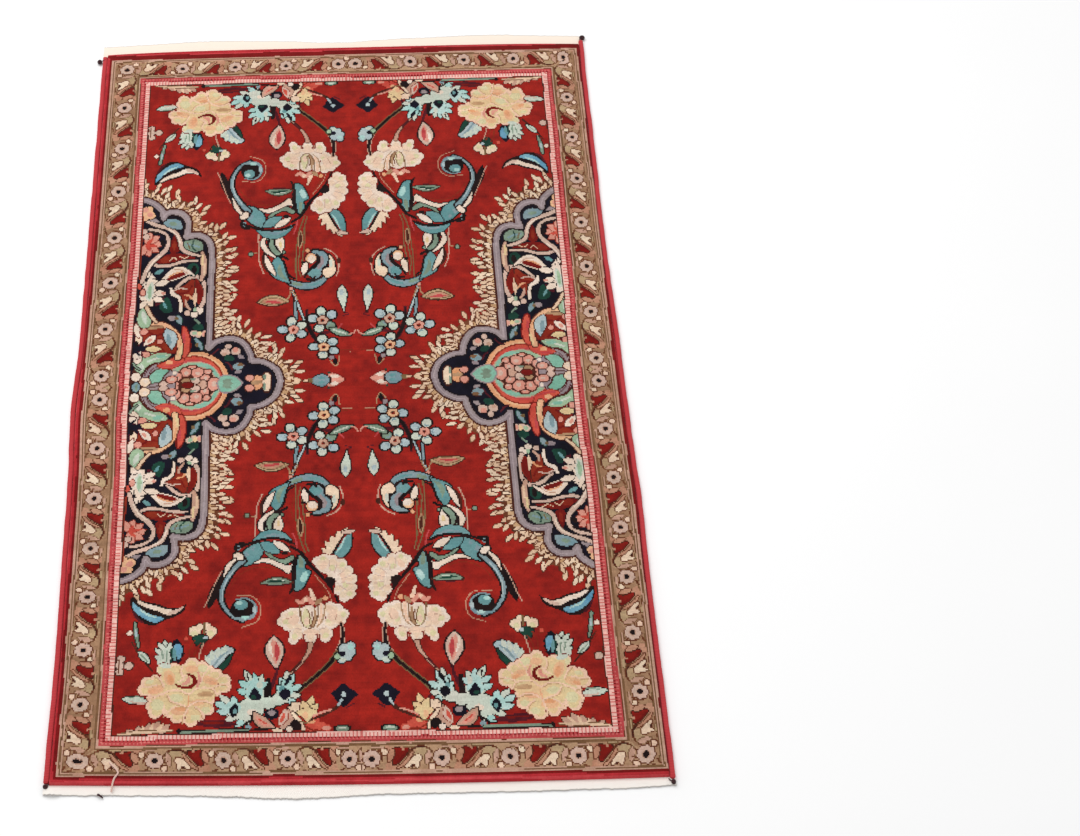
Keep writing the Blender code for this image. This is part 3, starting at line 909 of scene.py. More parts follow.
def medallion_side_flowers(c):
    """Between the roundel and the border: leaves, half flowers and the S band."""
    c.blob(318, -4, 28, 50, "mauve umber")
    c.patch("332,9 330,22 323,32 313,36 304,35 303,29 309,22 312,12 322,8", "jade umber 2.2")
    c.stroke("330,0 310,0", 2.2, "umber")
    c.blobs(
        (308, 5, 6.5, 5, "petal umber 1.6"), (296, 13, 8.5, 7, "pink umber 1.8"),
        (295, 13, 4, 3, "petal"),
    )
    c.dots("292,26", 3.4, "ivory mauve 1.6")
    c.blob(352, 0, 11, 40, "umber")
    c.stroke("339,6 335,26 327,40 312,46", 4.6, "mauve plum 1.4")
    c.patch("278,58 282,45 294,38 308,36 319,42 311,48 300,54 290,62", "coral rust 1.4")
    c.stroke("284,46 298,41 312,40", 3, "rose")
    c.blob(301, 49, 6, 4.6, "orange")
    lobe = "299,72 301,61 312,52 328,48 338,38 345,27 353,34 355,44 348,57 333,67 314,72"
    c.patch(lobe, "leafgreen umber 1.6")
    c.stroke("306,64 320,58 334,52", 4, "mint")
    c.blobs((345, 40, 4, 7, "mint"), (314, 62, 8, 4, "jade"))
    c.stroke("304,72 320,70 336,62", 2.4, "wine")
    c.blobs(
        (338, 10, 8.5, 8.5, "cream umber 1.6"), (337, 12, 4, 4, "ivory"),
        (353, 21, 7.5, 8.5, "ivory umber 1.6"), (352, 0, 6.5, 9, "slate ink 2"), (351, 2, 2, 5, "sage"),
    )
    c.leaf("344,64 358,46", 11, "ivory umber 1.4")
    c.stroke("348,36 354,42 358,50", 3, "sage ink 1.6")
    # S band down from the roundel
    c.patch("276,60 270,76 270,96 275,116 281,121 282,104 281,84 284,64", "coral wine 2.2")
    c.blob(279, 98, 2.4, 12, "rose")
    band = "288,58 285,74 286,92 292,109 303,121 317,128 333,128"
    c.stroke(band, [9, 8, 8, 8, 8, 7, 4], "peach umber 1.8")
    c.stroke("285,62 282,80", 4.4, "yellow")
    c.stroke("284,86 286,102 292,112", [3, 4, 2.4], "orange")
    c.patch("292,72 304,70 318,74 334,84 344,100 340,116 322,120 304,116 294,98", "rust wine 1.6")
    c.leaf("298,76 307,120", 20, "pearl umber 2", 0.56, bend=3)
    c.blob(303, 96, 4, 12, "slate", -6)
    c.stroke("310,74 318,82 328,84", 3, "wine")
    c.blob(317, 93, 4.4, 5, "pink wine 1.4")
    c.stroke("314,108 326,106 334,112", 4, "wine")
    c.leaf("345,78 315,77", 12, "yellow plum 1.6", 0.6)
    c.leaves("344,84 324,106; 346,74 357,58", 12, "ivory plum 1.6", 0.6)
    c.leaf("344,72 333,62", 12, "pink plum 1.6", 0.6)
    c.leaf("352,86 350,108", 12, "cream plum 1.6", 0.6)
    c.blobs((334, 96, 3, 5, "pink", 30), (346, 79, 7.5, 5.6, "navy"), (354, 90, 3, 6, "ink"))
    c.stroke("349,66 354,72 358,80", 4, "navy")
    c.leaf("351,102 357,130", 10, "ivory wine 1.6")
    c.blob(343, 114, 6, 6, "pink wine 1.6")
    c.stroke("314,123 326,121 337,121", 5, "tan")
    c.patch("336,124 347,122 355,134 354,148 346,158 339,148 333,136", "leafgreen umber 1.6")
    c.leaf("340,128 348,152", 8, "mint")
    c.stroke("324,131 334,144 342,158 350,172", [4, 5, 5, 4], "flame umber 1.6")


def medallion_leaves(c):
    """Little flowers on the dark ground and the red leaves in their pale outlines."""
    c.cluster("195,68,7.5 212,67,7.5 207,79,5", "petal ink 1.6")
    c.blobs((196, 71, 5, 5, "pink"), (213, 64, 4, 3, "guard"))
    c.patch("198,50 208,48 214,56 210,62 200,58", "forest")
    c.leaf("181,52 192,60", 8, "mauve")
    c.stroke("224,74 230,66 238,62", 3, "plum")
    c.stroke("250,76 254,86 260,96", [4, 8, 4], "slate forest 1.6")
    c.blob(258, 84, 3, 4, "olive")
    c.cluster("246,106,6 256,104,5 263,108,6", "petal ink 1.4")
    c.blobs((246, 106, 4, 5, "pink"), (254, 107, 3.4, 5, "yellow"), (262, 108, 4, 4, "leafgreen"))
    c.patch("249,115 260,113 266,120 258,127 250,124", "forest")
    c.stroke("255,127 262,134", 3, "sage")
    c.leaf("284,126 291,143", 9, "slate forest 1.2")
    c.blobs((299, 138, 7, 4.4, "mauve"), (292, 137, 3, 3, "olive"))
    c.patch("300,150 312,148 320,156 318,170 308,176 302,164", "forest")
    c.leaf("308,154 316,168", 5, "teal")
    c.leaf("314,176 328,160", 9, "plum")
    c.blobs(
        (255, 150, 6.5, 7, "ivory ink 1.4"), (263, 143, 6, 5, "ivory ink 1.4"),
        (262, 152, 3, 4, "leafgreen"), (275, 146, 5, 5, "petal ink 1.4"),
    )
    # pale strap round the two red leaves
    c.stroke(
        "252,158 247,172 247,190 252,206 262,213 276,210 288,200 296,192",
        [7, 6, 6, 6.5, 7, 6, 5, 4],
        "petal ink 1.6",
    )
    c.leaf("262,208 256,162", 15, "wine rust 1.4", 0.55)
    c.leaf("266,206 262,158", 7, "flame", 0.6)
    c.patch(
        "266,206 264,190 268,176 276,168 280,158 286,166 284,178 298,182 296,190 282,196 272,206",
        "rust umber 1.4",
    )
    c.stroke("268,196 276,184 290,182", 3, "wine")
    c.stroke("268,172 273,178 280,180", 3, "orange")
    c.stroke("286,150 286,164 290,176 300,182 304,192", [4, 5, 5, 7, 4], "ivory ink 1.6")
    c.stroke("276,190 288,192 298,188", 2.4, "petal")
    c.stroke("270,152 276,160 278,170", [3, 5, 3], "guard")
    # fish-shaped flower over its dark green eye
    c.blobs((268, 226, 10, 13, "forest"), (266, 226, 4, 8, "ink"))
    c.patch("264,213 274,218 284,213 300,207 322,202 314,218 300,231 286,232 273,224", "ivory ink 1.6")
    c.patch("280,217 294,211 312,206 308,214 296,219 284,222", "wine")
    c.stroke("286,223 298,220 308,214", 2.6, "orange")
    c.stroke("276,219 286,226 298,227", 1.8, "guard")
    # mint and white serrated flower
    c.patch(
        "333,160 346,166 354,178 350,192 344,206 336,222 330,210 322,204 330,196 326,186 330,174",
        "ivory ink 1.4",
    )
    inner = "332,176 314,168; 330,186 312,182; 330,200 306,206; 334,212 322,226"
    c.leaves(inner, 11, "ivory ink 1.2", 0.45)
    c.leaves("344,170 352,156; 346,200 356,212; 342,214 346,232", 10, "ivory ink 1.2", 0.45)
    c.patch("337,168 345,178 342,194 336,206 331,194 333,180", "mint")
    c.leaf("338,202 338,172", 7, "leafgreen")
    c.blobs((316, 184, 4, 2.6, "pink"), (349, 186, 4, 6, "pink wine 1.2"), (355, 198, 3, 7, "coral"))
    c.patch("314,220 322,212 333,216 334,230 324,236 315,230", "navy")
    c.leaf("318,228 332,220", 7, "teal")


def medallion_straps(c):
    """Pale straps with red between them, the grey leaf, and the peach fan at the edge."""
    c.stroke("254,206 250,222 251,240 254,258", [6, 9, 10.5, 5], "guard ink 1.6")
    c.stroke("249,216 249,236", 3.6, "flame")
    c.stroke("253,236 254,252", 4.4, "yellow")
    c.patch("264,248 284,246 304,241 324,240 332,246 318,254 300,258 280,254", "wine")
    c.blobs((315, 246, 9, 6, "rust", -10), (286, 250, 8, 2.2, "rust", 6))
    c.strokes("276,252 284,248 292,252; 296,246 302,250 308,244", 1.6, "flame")
    c.patch("294,262 306,258 310,268 306,284 302,292 297,280", "wine")
    c.blob(302, 272, 3, 9, "rust")
    c.stroke("262,243 285,242 305,236 324,235 336,240", [4, 5, 5, 6, 5], "petal ink 1.4")
    c.stroke(
        "352,206 347,224 337,243 322,258 313,272 314,288 328,300 346,304",
        [6, 7, 8, 7.5, 6.5, 6.5, 6, 4],
        "petal ink 1.6",
    )
    c.stroke("345,226 336,242 324,254", 2.4, "ivory")
    c.stroke(
        "258,252 276,257 289,266 293,282 300,296 315,306 334,312 352,322",
        [4, 6, 7, 6.5, 6.5, 7, 7, 5],
        "petal ink 1.6",
    )
    c.stroke("292,276 298,292 312,303", 2.4, "ivory")
    c.patch("254,264 266,260 280,264 287,274 280,283 264,282 254,274", "sage ink 1.6")
    c.stroke("260,268 270,272 282,274", 3.4, "slate")
    c.stroke("266,262 272,270 270,280", 2.2, "forest")
    c.stroke("276,266 280,276", 2.2, "olive")
    c.spray("351,276", "320,276 328,290 342,298 328,262 342,254 356,256", 12, "pink rust 1.4", 0.55)
    c.spray("350,275", "330,272 338,286 342,264", 6, "coral")
    c.blob(322, 278, 4, 6, "ink", -20)
    c.stroke("318,290 328,296 342,298", 3, "ink")
    c.cluster("350,290,5 354,300,5", "petal umber 1.2")
    c.patch("290,304 304,305 318,311 322,320 306,324 292,318", "slate ink 1.6")
    c.blob(305, 314, 7, 3.6, "sage", 12)
    c.leaf("328,318 352,330", 8, "mauve")
    c.cluster("344,332,7.5 353,341,8 355,328,7 346,344,6", "peach ink 1.6")
    c.cluster("345,334,5 353,343,5", "pink")
    c.stroke("356,212 357,260 356,330", 3, "rust")


# ---------------------------------------------------------------- border
# Middles of the border's rosettes, in pattern mm from the rug's middle lines
SIDE_ROSETTES = {
    ("left", "near"): (22, 119, 213, 304, 390, 481, 572, 662),
    ("right", "near"): (21, 113, 204, 294, 380, 473, 568, 662),
    ("left", "far"): (25, 122, 205, 290, 381, 475, 569, 662),
    ("right", "far"): (25, 122, 208, 293, 381, 473, 568, 662),
}
END_ROSETTES = {
    ("left", "near"): (18, 104, 194, 289, 394),
    ("right", "near"): (13, 110, 206, 300, 394),
    ("left", "far"): (14, 108, 201, 295, 394),
    ("right", "far"): (16, 116, 213, 303, 394),
}
ROSETTE_PITCH = 94.0
# Levels of the nested frames, shared by ends and sides so that they meet in mitres
END_LEVELS = (621.5, 624, 630, 637, 641, 646, 680, 683, 686.5, 688.5, 700)
SIDE_LEVELS = (350.5, 353.5, 360, 368, 371, 376, 415, 419, 423, 425, 437)
LEVELS = (0, 2.5, 8.5, 15.5, 19.5, 24.5, 59, 62, 66, 68, 79)
INSIDE_FRAMES = -9
ROW_LEVEL_END = 663.0
ROW_LEVEL_SIDE = 395.5
GROUND_LEVELS = (23.6, 58.6)
# The level where each band begins, and its yarn
BANDS = (
    (0, "umber"), (1.6, "dots"), (8.5, "rose"), (16.4, "bark"), (17.8, "guard"), (20.4, "shade"),
    (23.6, "ground"), (57.6, "shade"), (59.4, "guard"), (60.8, "shade"), (62.4, "guard"),
    (65.6, "deep"), (69.6, "outer"),
)
# Small changes of yarn on the bands: levels from and to, beat from and to, yarn
BEAT = 5.4
BEATS = (
    (2, 8.5, -1, 1.9, "bead"), (8.5, 11, 3.2, BEAT, "deep"), (11.5, 14, 0.6, 2.6, "bead"),
    (73, 76.5, -1, BEAT, "flush"),
)
FAR_DEEP_LEVELS = (68.5, 75)


def border_cell(c):
    """One repeat: rosette, cream bud, dark red leaf on its vine, two-fingered cream leaf.
    Here a is the distance outward from the rosette row and b runs along the border."""
    c.patch("-17,14 -8,20 -3,24 -8,29 -17,28", "clay")
    c.patch("-15,62 -6,58 0,68 -3,78 -12,80 -18,72", "moss")
    c.patch("17,18 7,20 4,30 12,36 18,30", "clay")
    c.strokes("-13,-9 -6,-14 3,-14; -13,9 -6,13 4,14", 1.9, "bark")
    c.stroke("17,-30 14,-18 18,-6 16,12 17,24", 2, "shade")
    c.stroke("-18,-26 -15,-16 -18,2 -15,10", 2, "shade")
    c.leaf("-14,29 5,22", 8.5, "clay bark 1.5")
    c.stroke("-10,50 -15,57 -17,67 -13,77 -5,83 2,85", [4, 4, 3.4, 3, 2.2, 1.8], "bark")
    c.stroke("-11,53 -16,62 -16,70", 2, "umber")
    c.stroke("-8,54 0,49 8,42 13,35", [2.6, 3.4, 3.4, 2.6], "clay bark 1.5")
    c.patch("-15,31 -14,40 -14,49 -7,47 0,41 6,35 8,30 5,28 -3,31 -9,33", "brick umber 1.6")
    c.stroke("-12,47 -4,43 5,34", 3.4, "wine")
    c.stroke("-16,41 -13,42", 3.4, "clay")
    hand = "-4,59 -4,64 1,66 5,63 11,62 14,59 10,57 8,54 12,49 13,45 10,45 4,50 -1,55"
    c.patch(hand, "cream bark 1.7")
    c.blob(11, 53, 2.4, 2, "umber")
    c.leaf("9,72 -12,78", 8, "guard shade 1.4")
    c.blobs((12, 80, 4, 4.2, "blush bark 1.7"), (-10, 17, 4.6, 3.6, "cream bark 1.6", 20))
    c.strokes("16,66 18,74; 17,40 18,48; 2,76 4,80", 2, "bark")
    c.stroke("13,8 16,14", 3, "bark")
    c.strokes("-17,-22 -15.5,-10 -16,4 -15,16; 16,-22 14,-12", 2.6, "guard shade 1.3")
    c.strokes("-18,44 -18,56; 17,52 17,60", 2.4, "moss shade 1.2")
    for base in (0.0, ROSETTE_PITCH):
        c.flower(0, base, 12, 8, "petal bark 1.5", 0.12, 10)
        c.blobs((0, base, 5, 5.4, "guard"), (0, base, 3.9, 4.1, "ink"))


# ---------------------------------------------------------------- from metres to yarns
WOVEN_SCALE = 0.9925
PATTERN_MIDDLE = (3.9, -0.3)
# Wandering of the weave: amount, size and seed of each noise
WANDER_X = ((1.1, 58, 11), (0.4, 17, 12))
WANDER_Y = ((1.1, 52, 13), (0.4, 19, 14))
# Straight-line drifts of the weaving: amount at the middle, and change for each mm
MIRROR_ROW = (-20, 0.0115)
NEAR_LENGTH = (663.5, 0.0299)
FAR_LENGTH = (697.4, -0.0119)
HALF_WOVEN = (391, -0.0068)
CHART_LENGTH = 663.5
CHART_HALF = 395
MIRROR_COLUMN = 6.5
# Rows of the far half as woven, and the rows of the chart that they show
FAR_ROWS = (0, 65, 113, 376, 447, 557, 626, 632, 643, 664.6, 691, 703, 760)
CHART_ROWS = (0, 72, 122, 366, 435.5, 548, 621, 627.3, 637, 663, 689, 700, 757)


def wandered(place, x, y, waves):
    """The place plus, for each wave, its amount times a soft noise at (x, y)."""
    for amount, size, seed in waves:
        place = place + amount * soft_noise(x + NOISE_ORIGIN, y + NOISE_ORIGIN, size, seed)
    return place


def sloped(drift, place):
    """A straight-line drift: its amount at the middle plus its change for each mm."""
    return drift[0] + drift[1] * place


class Places:
    """Where each knot lies in the pattern, in its mm: x and y on the rug, a and b on the
    chart, across for the side borders. The mirror row slants, the ends are of unequal
    length and the sides draw in, each by a straight line in x or y."""

    def __init__(self, x_metres, y_metres):
        x = (x_metres * 1000 - PATTERN_MIDDLE[0]) / WOVEN_SCALE
        y = ((y_metres - SHIFT_Y) * 1000 - PATTERN_MIDDLE[1]) / WOVEN_SCALE
        x = wandered(x, x, y, WANDER_X)
        y = wandered(y, x, y, WANDER_Y)
        mirror = sloped(MIRROR_ROW, x)
        near_b = (mirror - y) / sloped(NEAR_LENGTH, x) * CHART_LENGTH
        far_b = (y - mirror) / sloped(FAR_LENGTH, x) * CHART_LENGTH
        scale = CHART_HALF / sloped(HALF_WOVEN, y)
        axis = 0.5 - 4.5 * np.exp(-(((y + 10) / 180) ** 2))
        self.x = x
        self.y = y
        self.near = y < mirror
        self.left = x < axis
        self.a = np.abs(x - MIRROR_COLUMN) * scale
        self.b = np.where(self.near, near_b, np.interp(far_b, FAR_ROWS, CHART_ROWS))
        self.across = np.abs(x - axis) * scale

    def rosette_drifts(self):
        """How far the rows of rosettes lie outside their level, at the ends and the sides."""
        calm = np.tanh(self.x / 100)
        at_end = np.where(self.near, 0.8 + 0.8 * calm, 2 + 2 * calm)
        left_side = np.clip(1 - self.y / 300, -1, 2.2)
        right_side = np.clip(-0.8 - self.y / 170, -2.8, 1.2)
        return at_end, np.where(self.left, left_side, right_side)

    def outer_drifts(self):
        """The same for the outer guard stripes, eased in over the band of rosettes."""
        near_end = 1.25 + 1.25 * np.tanh((self.x + 240) / 50)
        at_end = np.where(self.near, near_end, 1.5 + 1.5 * np.tanh(self.x / 100))
        at_side = np.where(self.left, 1.3, np.clip(-0.8 - self.y / 300, -2, 0))
        at_end = at_end * np.clip((self.b - 652) / 28, 0, 1)
        return at_end, at_side * np.clip((self.across - 388) / 25, 0, 1)


def frame_level(place, stations):
    """Level in the nested frames: between the stations by straight lines, and past the
    last of them as many mm more."""
    level = np.interp(place, stations, LEVELS, left=INSIDE_FRAMES)
    return np.where(place > stations[-1], LEVELS[-1] + place - stations[-1], level)


def rosette_run(along, middles):
    """Place along the border within its repeat: 0 at one rosette, the pitch at the next."""
    before = 2 * middles[0] - middles[1]
    after = 2 * middles[-1] - middles[-2]
    stations = (before, *middles, after)
    count = np.interp(along, stations, np.arange(len(stations)) - 1)
    return np.mod(count, 1) * ROSETTE_PITCH


def border(p, yarn):
    """The frames round the field: bands by level, beats along them, then the repeats."""
    end_drift, side_drift = p.rosette_drifts()
    end_out, side_out = p.outer_drifts()
    b = p.b - end_out
    across = p.across - side_out
    end_level = frame_level(b, END_LEVELS)
    side_level = frame_level(across, SIDE_LEVELS)
    level = np.maximum(end_level, side_level)
    on_end = end_level >= side_level
    along = np.where(on_end, across, b)
    for start, name in BANDS:
        yarn[level >= start] = YARN_NUMBER[name]
    beat = np.mod(along, BEAT)
    for low, high, first, last, name in BEATS:
        on_band = (level > low) & (level < high)
        yarn[on_band & (beat > first) & (beat < last)] = YARN_NUMBER[name]
    deep = (level > FAR_DEEP_LEVELS[0]) & (level < FAR_DEEP_LEVELS[1])
    yarn[on_end & ~p.near & deep] = YARN_NUMBER["deep"]
    ground = (level > GROUND_LEVELS[0]) & (level < GROUND_LEVELS[1])
    end_out_of_row = b - ROW_LEVEL_END - end_drift
    side_out_of_row = across - ROW_LEVEL_SIDE - side_drift
    for half, end in SIDE_ROSETTES:
        quarter = ground & (p.left == (half == "left")) & (p.near == (end == "near"))
        for table, here, out, base in (
            (END_ROSETTES, on_end, end_out_of_row, "ground_end"),
            (SIDE_ROSETTES, ~on_end, side_out_of_row, "ground"),
        ):
            mine = np.flatnonzero(quarter & here)
            cell = Chart(out[mine], rosette_run(along[mine], table[(half, end)]))
            cell.yarn[:] = YARN_NUMBER[base]
            border_cell(cell)
            yarn[mine] = cell.yarn


def pattern_yarns(x_metres, y_metres):
    """The yarn number of each knot: the motifs in turn, then the border over them."""
    p = Places(x_metres, y_metres)
    chart = Chart(p.a, p.b)
    centre_florets(chart)
    arabesque(chart)
    fan_and_leaf(chart)
    peony(chart)
    aqua_blossoms(chart)
    corner_flower(chart)
    medallion(chart)
    border(p, chart.yarn)
    return chart.yarn


def yarn_colours(yarn, x, y, seed):
    """Linear colour of each knot: the yarn's two dye colours mixed by 0.42 + 0.7 * patches
    some 10 mm wide, then lighter or darker by fine and broad weft rows, by a draw of the
    knot's own and by a slow fade, which add up."""
    first = linear([value[0] for value in YARNS.values()])
    second = linear([value[1] for value in YARNS.values()])
    xm = x * 1000 + 2000
    ym = y * 1000 + 2000
    patch = 0.55 * soft_noise(xm, ym, 9, seed) + 0.55 * soft_noise(xm, ym, 23, seed + 1)
    share = np.clip(0.42 + 0.7 * patch, 0, 1)[:, None]
    colour = first[yarn] * (1 - share) + second[yarn] * share
    fine_rows = 0.08 * soft_noise(xm * 0.04, ym, 2.6, seed + 2)
    broad_rows = 0.07 * soft_noise(xm * 0.05, ym, 14, seed + 3)
    rows = fine_rows + broad_rows
    own = np.random.RandomState(seed + 4).normal(0, 0.055, len(yarn))
    fade = 0.04 * soft_noise(xm, ym, 160, seed + 5)
    return np.clip(colour * (1 + rows + own + fade)[:, None], 0, 1)


# ---------------------------------------------------------------- mesh making
def grid_faces(rows, columns, wrap=False):
    """Quads of a grid of rows x columns points, anticlockwise seen from above."""
    last = columns if wrap else columns - 1
    i = np.arange(last)[None, :]
    low = np.arange(rows - 1)[:, None] * columns
    high = low + columns
    right = (i + 1) % columns
    return np.stack([low + i, low + right, high + right, high + i], axis=-1).reshape(-1, 4)


def cap_triangles(rows, sides):
    """Triangles from the two end points, listed after the rings, to the end rings."""
    around = np.arange(sides)
    after = (around + 1) % sides
    low = (rows - 1) * sides
    near = np.stack([np.full(sides, rows * sides), after, around], axis=-1)
    far = np.stack([np.full(sides, rows * sides + 1), low + around, low + after], axis=-1)
    return np.concatenate([near, far])


def ring_angles(sides):
    """Angles of the points round a cord."""
    return np.arange(sides) / sides * 2 * np.pi


def rounded_tip(share, least):
    """Size of a cord near its end: sqrt(1 - (1 - share) ** 2), as a ball closes."""
    return np.sqrt(np.clip(1 - (1 - np.clip(share, 0, 1)) ** 2, least, 1))


def volume(points, quads, triangles):
    """Signed volume: a sixth of the sum of corner . (corner x corner) over all triangles."""
    split = np.concatenate([quads[:, [0, 1, 2]], quads[:, [0, 2, 3]], triangles])
    p = np.asarray(points, float)
    p = p - p.mean(0)
    normals = np.cross(p[split[:, 1]], p[split[:, 2]])
    return float(np.einsum("ij,ij->i", p[split[:, 0]], normals).sum() / 6)


def piece(name, points, quads, material, caps=None):
    """A mesh object from whole arrays of points and quads. With caps, the triangles that
    close a cord, its faces are turned outwards."""
    mesh = bpy.data.meshes.new(name)
    points = np.asarray(points, np.float32)
    triangles = np.zeros((0, 3), int) if caps is None else caps
    loops = np.concatenate([quads.ravel(), triangles.ravel()]).astype(np.int32)
    quad_starts = np.arange(len(quads)) * 4
    triangle_starts = len(quads) * 4 + np.arange(len(triangles)) * 3
    starts = np.concatenate([quad_starts, triangle_starts]).astype(np.int32)
    mesh.vertices.add(len(points))
    mesh.vertices.foreach_set("co", points.ravel())
    mesh.loops.add(len(loops))
    mesh.loops.foreach_set("vertex_index", loops)
    mesh.polygons.add(len(starts))
    mesh.polygons.foreach_set("loop_start", starts)
    mesh.polygons.foreach_set("use_smooth", np.ones(len(starts), bool))
    mesh.update(calc_edges=True)
    if caps is not None and volume(points, quads, triangles) < 0:
        mesh.flip_normals()
    mesh.materials.append(material)
    thing = bpy.data.objects.new(name, mesh)
    bpy.context.scene.collection.objects.link(thing)
    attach(thing, "root")
    return thing


def lay_uv(thing, u, v):
    """The piece's own map, from the two places of each point."""
    mesh = thing.data
    corners = np.zeros(len(mesh.loops), np.int32)
    mesh.loops.foreach_get("vertex_index", corners)
    uv = np.stack([u, v], axis=-1).reshape(-1, 2).astype(np.float32)
    layer = mesh.uv_layers.new(name="OFBake")
    layer.data.foreach_set("uv", uv[corners].ravel())


def face_colours(thing, colours):
    """One colour for each face, as one knot has one yarn."""
    layer = thing.data.attributes.new("yarn", "FLOAT_COLOR", "FACE")
    with_alpha = np.ones((len(colours), 4), np.float32)
    with_alpha[:, :3] = colours
    layer.data.foreach_set("color", with_alpha.ravel())


def groove_values(thing, groove):
    """How deep in a groove each point lies, from 0 to 1; the two end points lie at 0."""
    layer = thing.data.attributes.new("groove", "FLOAT", "POINT")
    values = np.append(groove.ravel(), [0, 0]).astype(np.float32)
    layer.data.foreach_set("value", values)


# ---------------------------------------------------------------- shader maths
class Socket:
    """A shader value: + - * / on it add Math nodes."""

    def __init__(self, tree, socket):
        self.tree = tree
        self.socket = socket

    def math(self, operation, other=None, swap=False):
        values = [self, other] if other is not None else [self]
        if swap:
            values.reverse()
        return self.tree.node("ShaderNodeMath", {"operation": operation}, values)

    def __add__(self, other):
        return self.math("ADD", other)

    def __radd__(self, other):
        return self.math("ADD", other)

    def __sub__(self, other):
        return self.math("SUBTRACT", other)

    def __rsub__(self, other):
        return self.math("SUBTRACT", other, True)

    def __mul__(self, other):
        return self.math("MULTIPLY", other)

    def __rmul__(self, other):
        return self.math("MULTIPLY", other)

    def __truediv__(self, other):
        return self.math("DIVIDE", other)

    def __pow__(self, other):
        return self.math("POWER", other)

    def sine(self):
        return self.math("SINE")

    def size(self):
        return self.math("ABSOLUTE")


class Finish:
    """A node material with one Principled shader; constants are set on its sockets."""

    def __init__(self, name, **constants):
        self.material = bpy.data.materials.new(name)
        self.material.use_nodes = True
        self.nodes = self.material.node_tree.nodes
        self.links = self.material.node_tree.links
        self.shader = self.nodes["Principled BSDF"]
        for key, value in constants.items():
            self.shader.inputs[key.replace("_", " ")].default_value = value

    def node(self, kind, settings=None, values=(), out=0):
        """A node: its settings first, then its sockets by number or name."""
        made = self.nodes.new(kind)
        for key, value in (settings or {}).items():
            setattr(made, key, value)
        pairs = values.items() if isinstance(values, dict) else enumerate(values)
        for key, value in pairs:
            if isinstance(value, Socket):
                self.links.new(value.socket, made.inputs[key])
            else:
                made.inputs[key].default_value = value
        return Socket(self, made.outputs[out])

    def coords(self, which="Object"):
        """Object coordinates, or the piece's own map by the name UV."""
        return self.node("ShaderNodeTexCoord", out=which)

    def attribute(self, name, out):
        """A value that the mesh carries."""
        return self.node("ShaderNodeAttribute", {"attribute_name": name}, out=out)

    def parts(self, vector):
        """The x, y and z of a vector."""
        split = self.node("ShaderNodeSeparateXYZ", None, [vector])
        return [Socket(self, split.socket.node.outputs[k]) for k in range(3)]

    def scaled(self, vector, scale):
        """Product of two vectors or colours, part by part."""
        return self.node("ShaderNodeVectorMath", {"operation": "MULTIPLY"}, [vector, scale])

    def dimmed(self, colour, light):
        """A colour times one share of light."""
        tint = self.node("ShaderNodeCombineXYZ", None, [light, light, light])
        return self.scaled(colour, tint)

    def noise(self, vector, scale, detail=3.0, rough=0.6):
        """Noise with that many features a metre."""
        values = {"Vector": vector, "Scale": scale, "Detail": detail, "Roughness": rough}
        return self.node("ShaderNodeTexNoise", None, values)

    def mix(self, factor, first, second):
        """From one colour to another; sRGB 0-255 triples count as colours too."""
        first, second = (rgba(c) if isinstance(c, tuple) else c for c in (first, second))
        settings = {"data_type": "RGBA", "blend_type": "MIX"}
        return self.node("ShaderNodeMix", settings, {0: factor, 6: first, 7: second}, out=2)

    def dress(self, colour, roughness, height, strength, depth):
        """Feeds the shader its colour, roughness and bump, and gives the material."""
        self.links.new(colour.socket, self.shader.inputs["Base Color"])
        self.links.new(roughness.socket, self.shader.inputs["Roughness"])
        values = {"Strength": strength, "Distance": depth, "Height": height}
        bump = self.node("ShaderNodeBump", None, values)
        self.links.new(bump.socket, self.shader.inputs["Normal"])
        return self.material


def rgba(colour):
    """sRGB 0-255 as a linear RGBA for a socket."""
    return (*[float(v) for v in linear(colour)], 1.0)


def wool_finish(columns, rows):
    """Cut wool pile: knot colours dimmed to 0.81 + 0.16 fibre + 0.10 patches. In the bump
    each knot is a small tuft, the root of |sine across| * |sine along|."""
    f = Finish(
        "knotted_wool", Sheen_Weight=0.04, Sheen_Roughness=0.5, Specular_IOR_Level=0.08
    )
    colour = f.attribute("yarn", "Color")
    place = f.coords()
    fibre = f.noise(f.scaled(place, (1.0, 0.6, 1.0)), 1500.0)
    patch = f.noise(place, 60.0, 2.0, 0.5)
    shown = f.dimmed(colour, 0.81 + fibre * 0.16 + patch * 0.10)
    knots = f.parts(f.scaled(f.coords("UV"), (columns * math.pi, rows * math.pi, 1.0)))
    tufts = (knots[0].sine().size() * knots[1].sine().size()) ** 0.5
    height = tufts * 0.7 + fibre * 0.8 + patch * 0.5
    return f.dress(shown, 0.82 + fibre * 0.16, height, 0.55, 0.0009)


def cord_finish():
    """Red overcasting wool: painted shade between the wraps, fibre flecks along them."""
    f = Finish(
        "overcast_wool", Sheen_Weight=0.06, Sheen_Roughness=0.5, Specular_IOR_Level=0.12
    )
    groove = f.attribute("groove", "Fac")
    place = f.coords()
    fibre = f.noise(f.scaled(place, (1.0, 2.5, 1.0)), 900.0)
    drift = f.noise(place, 22.0, 2.0, 0.5)
    base = f.mix(drift, (200, 52, 62), (182, 38, 46))
    worn = f.mix(fibre * 0.35, base, (222, 116, 114))
    # painted shade: the colour darkens towards deep red in the grooves between the wraps
    dark = f.mix(groove * 0.6, worn, (112, 18, 22))
    height = fibre + (1 - groove) * 0.4
    return f.dress(dark, 0.78 + fibre * 0.18, height, 0.5, 0.0006)


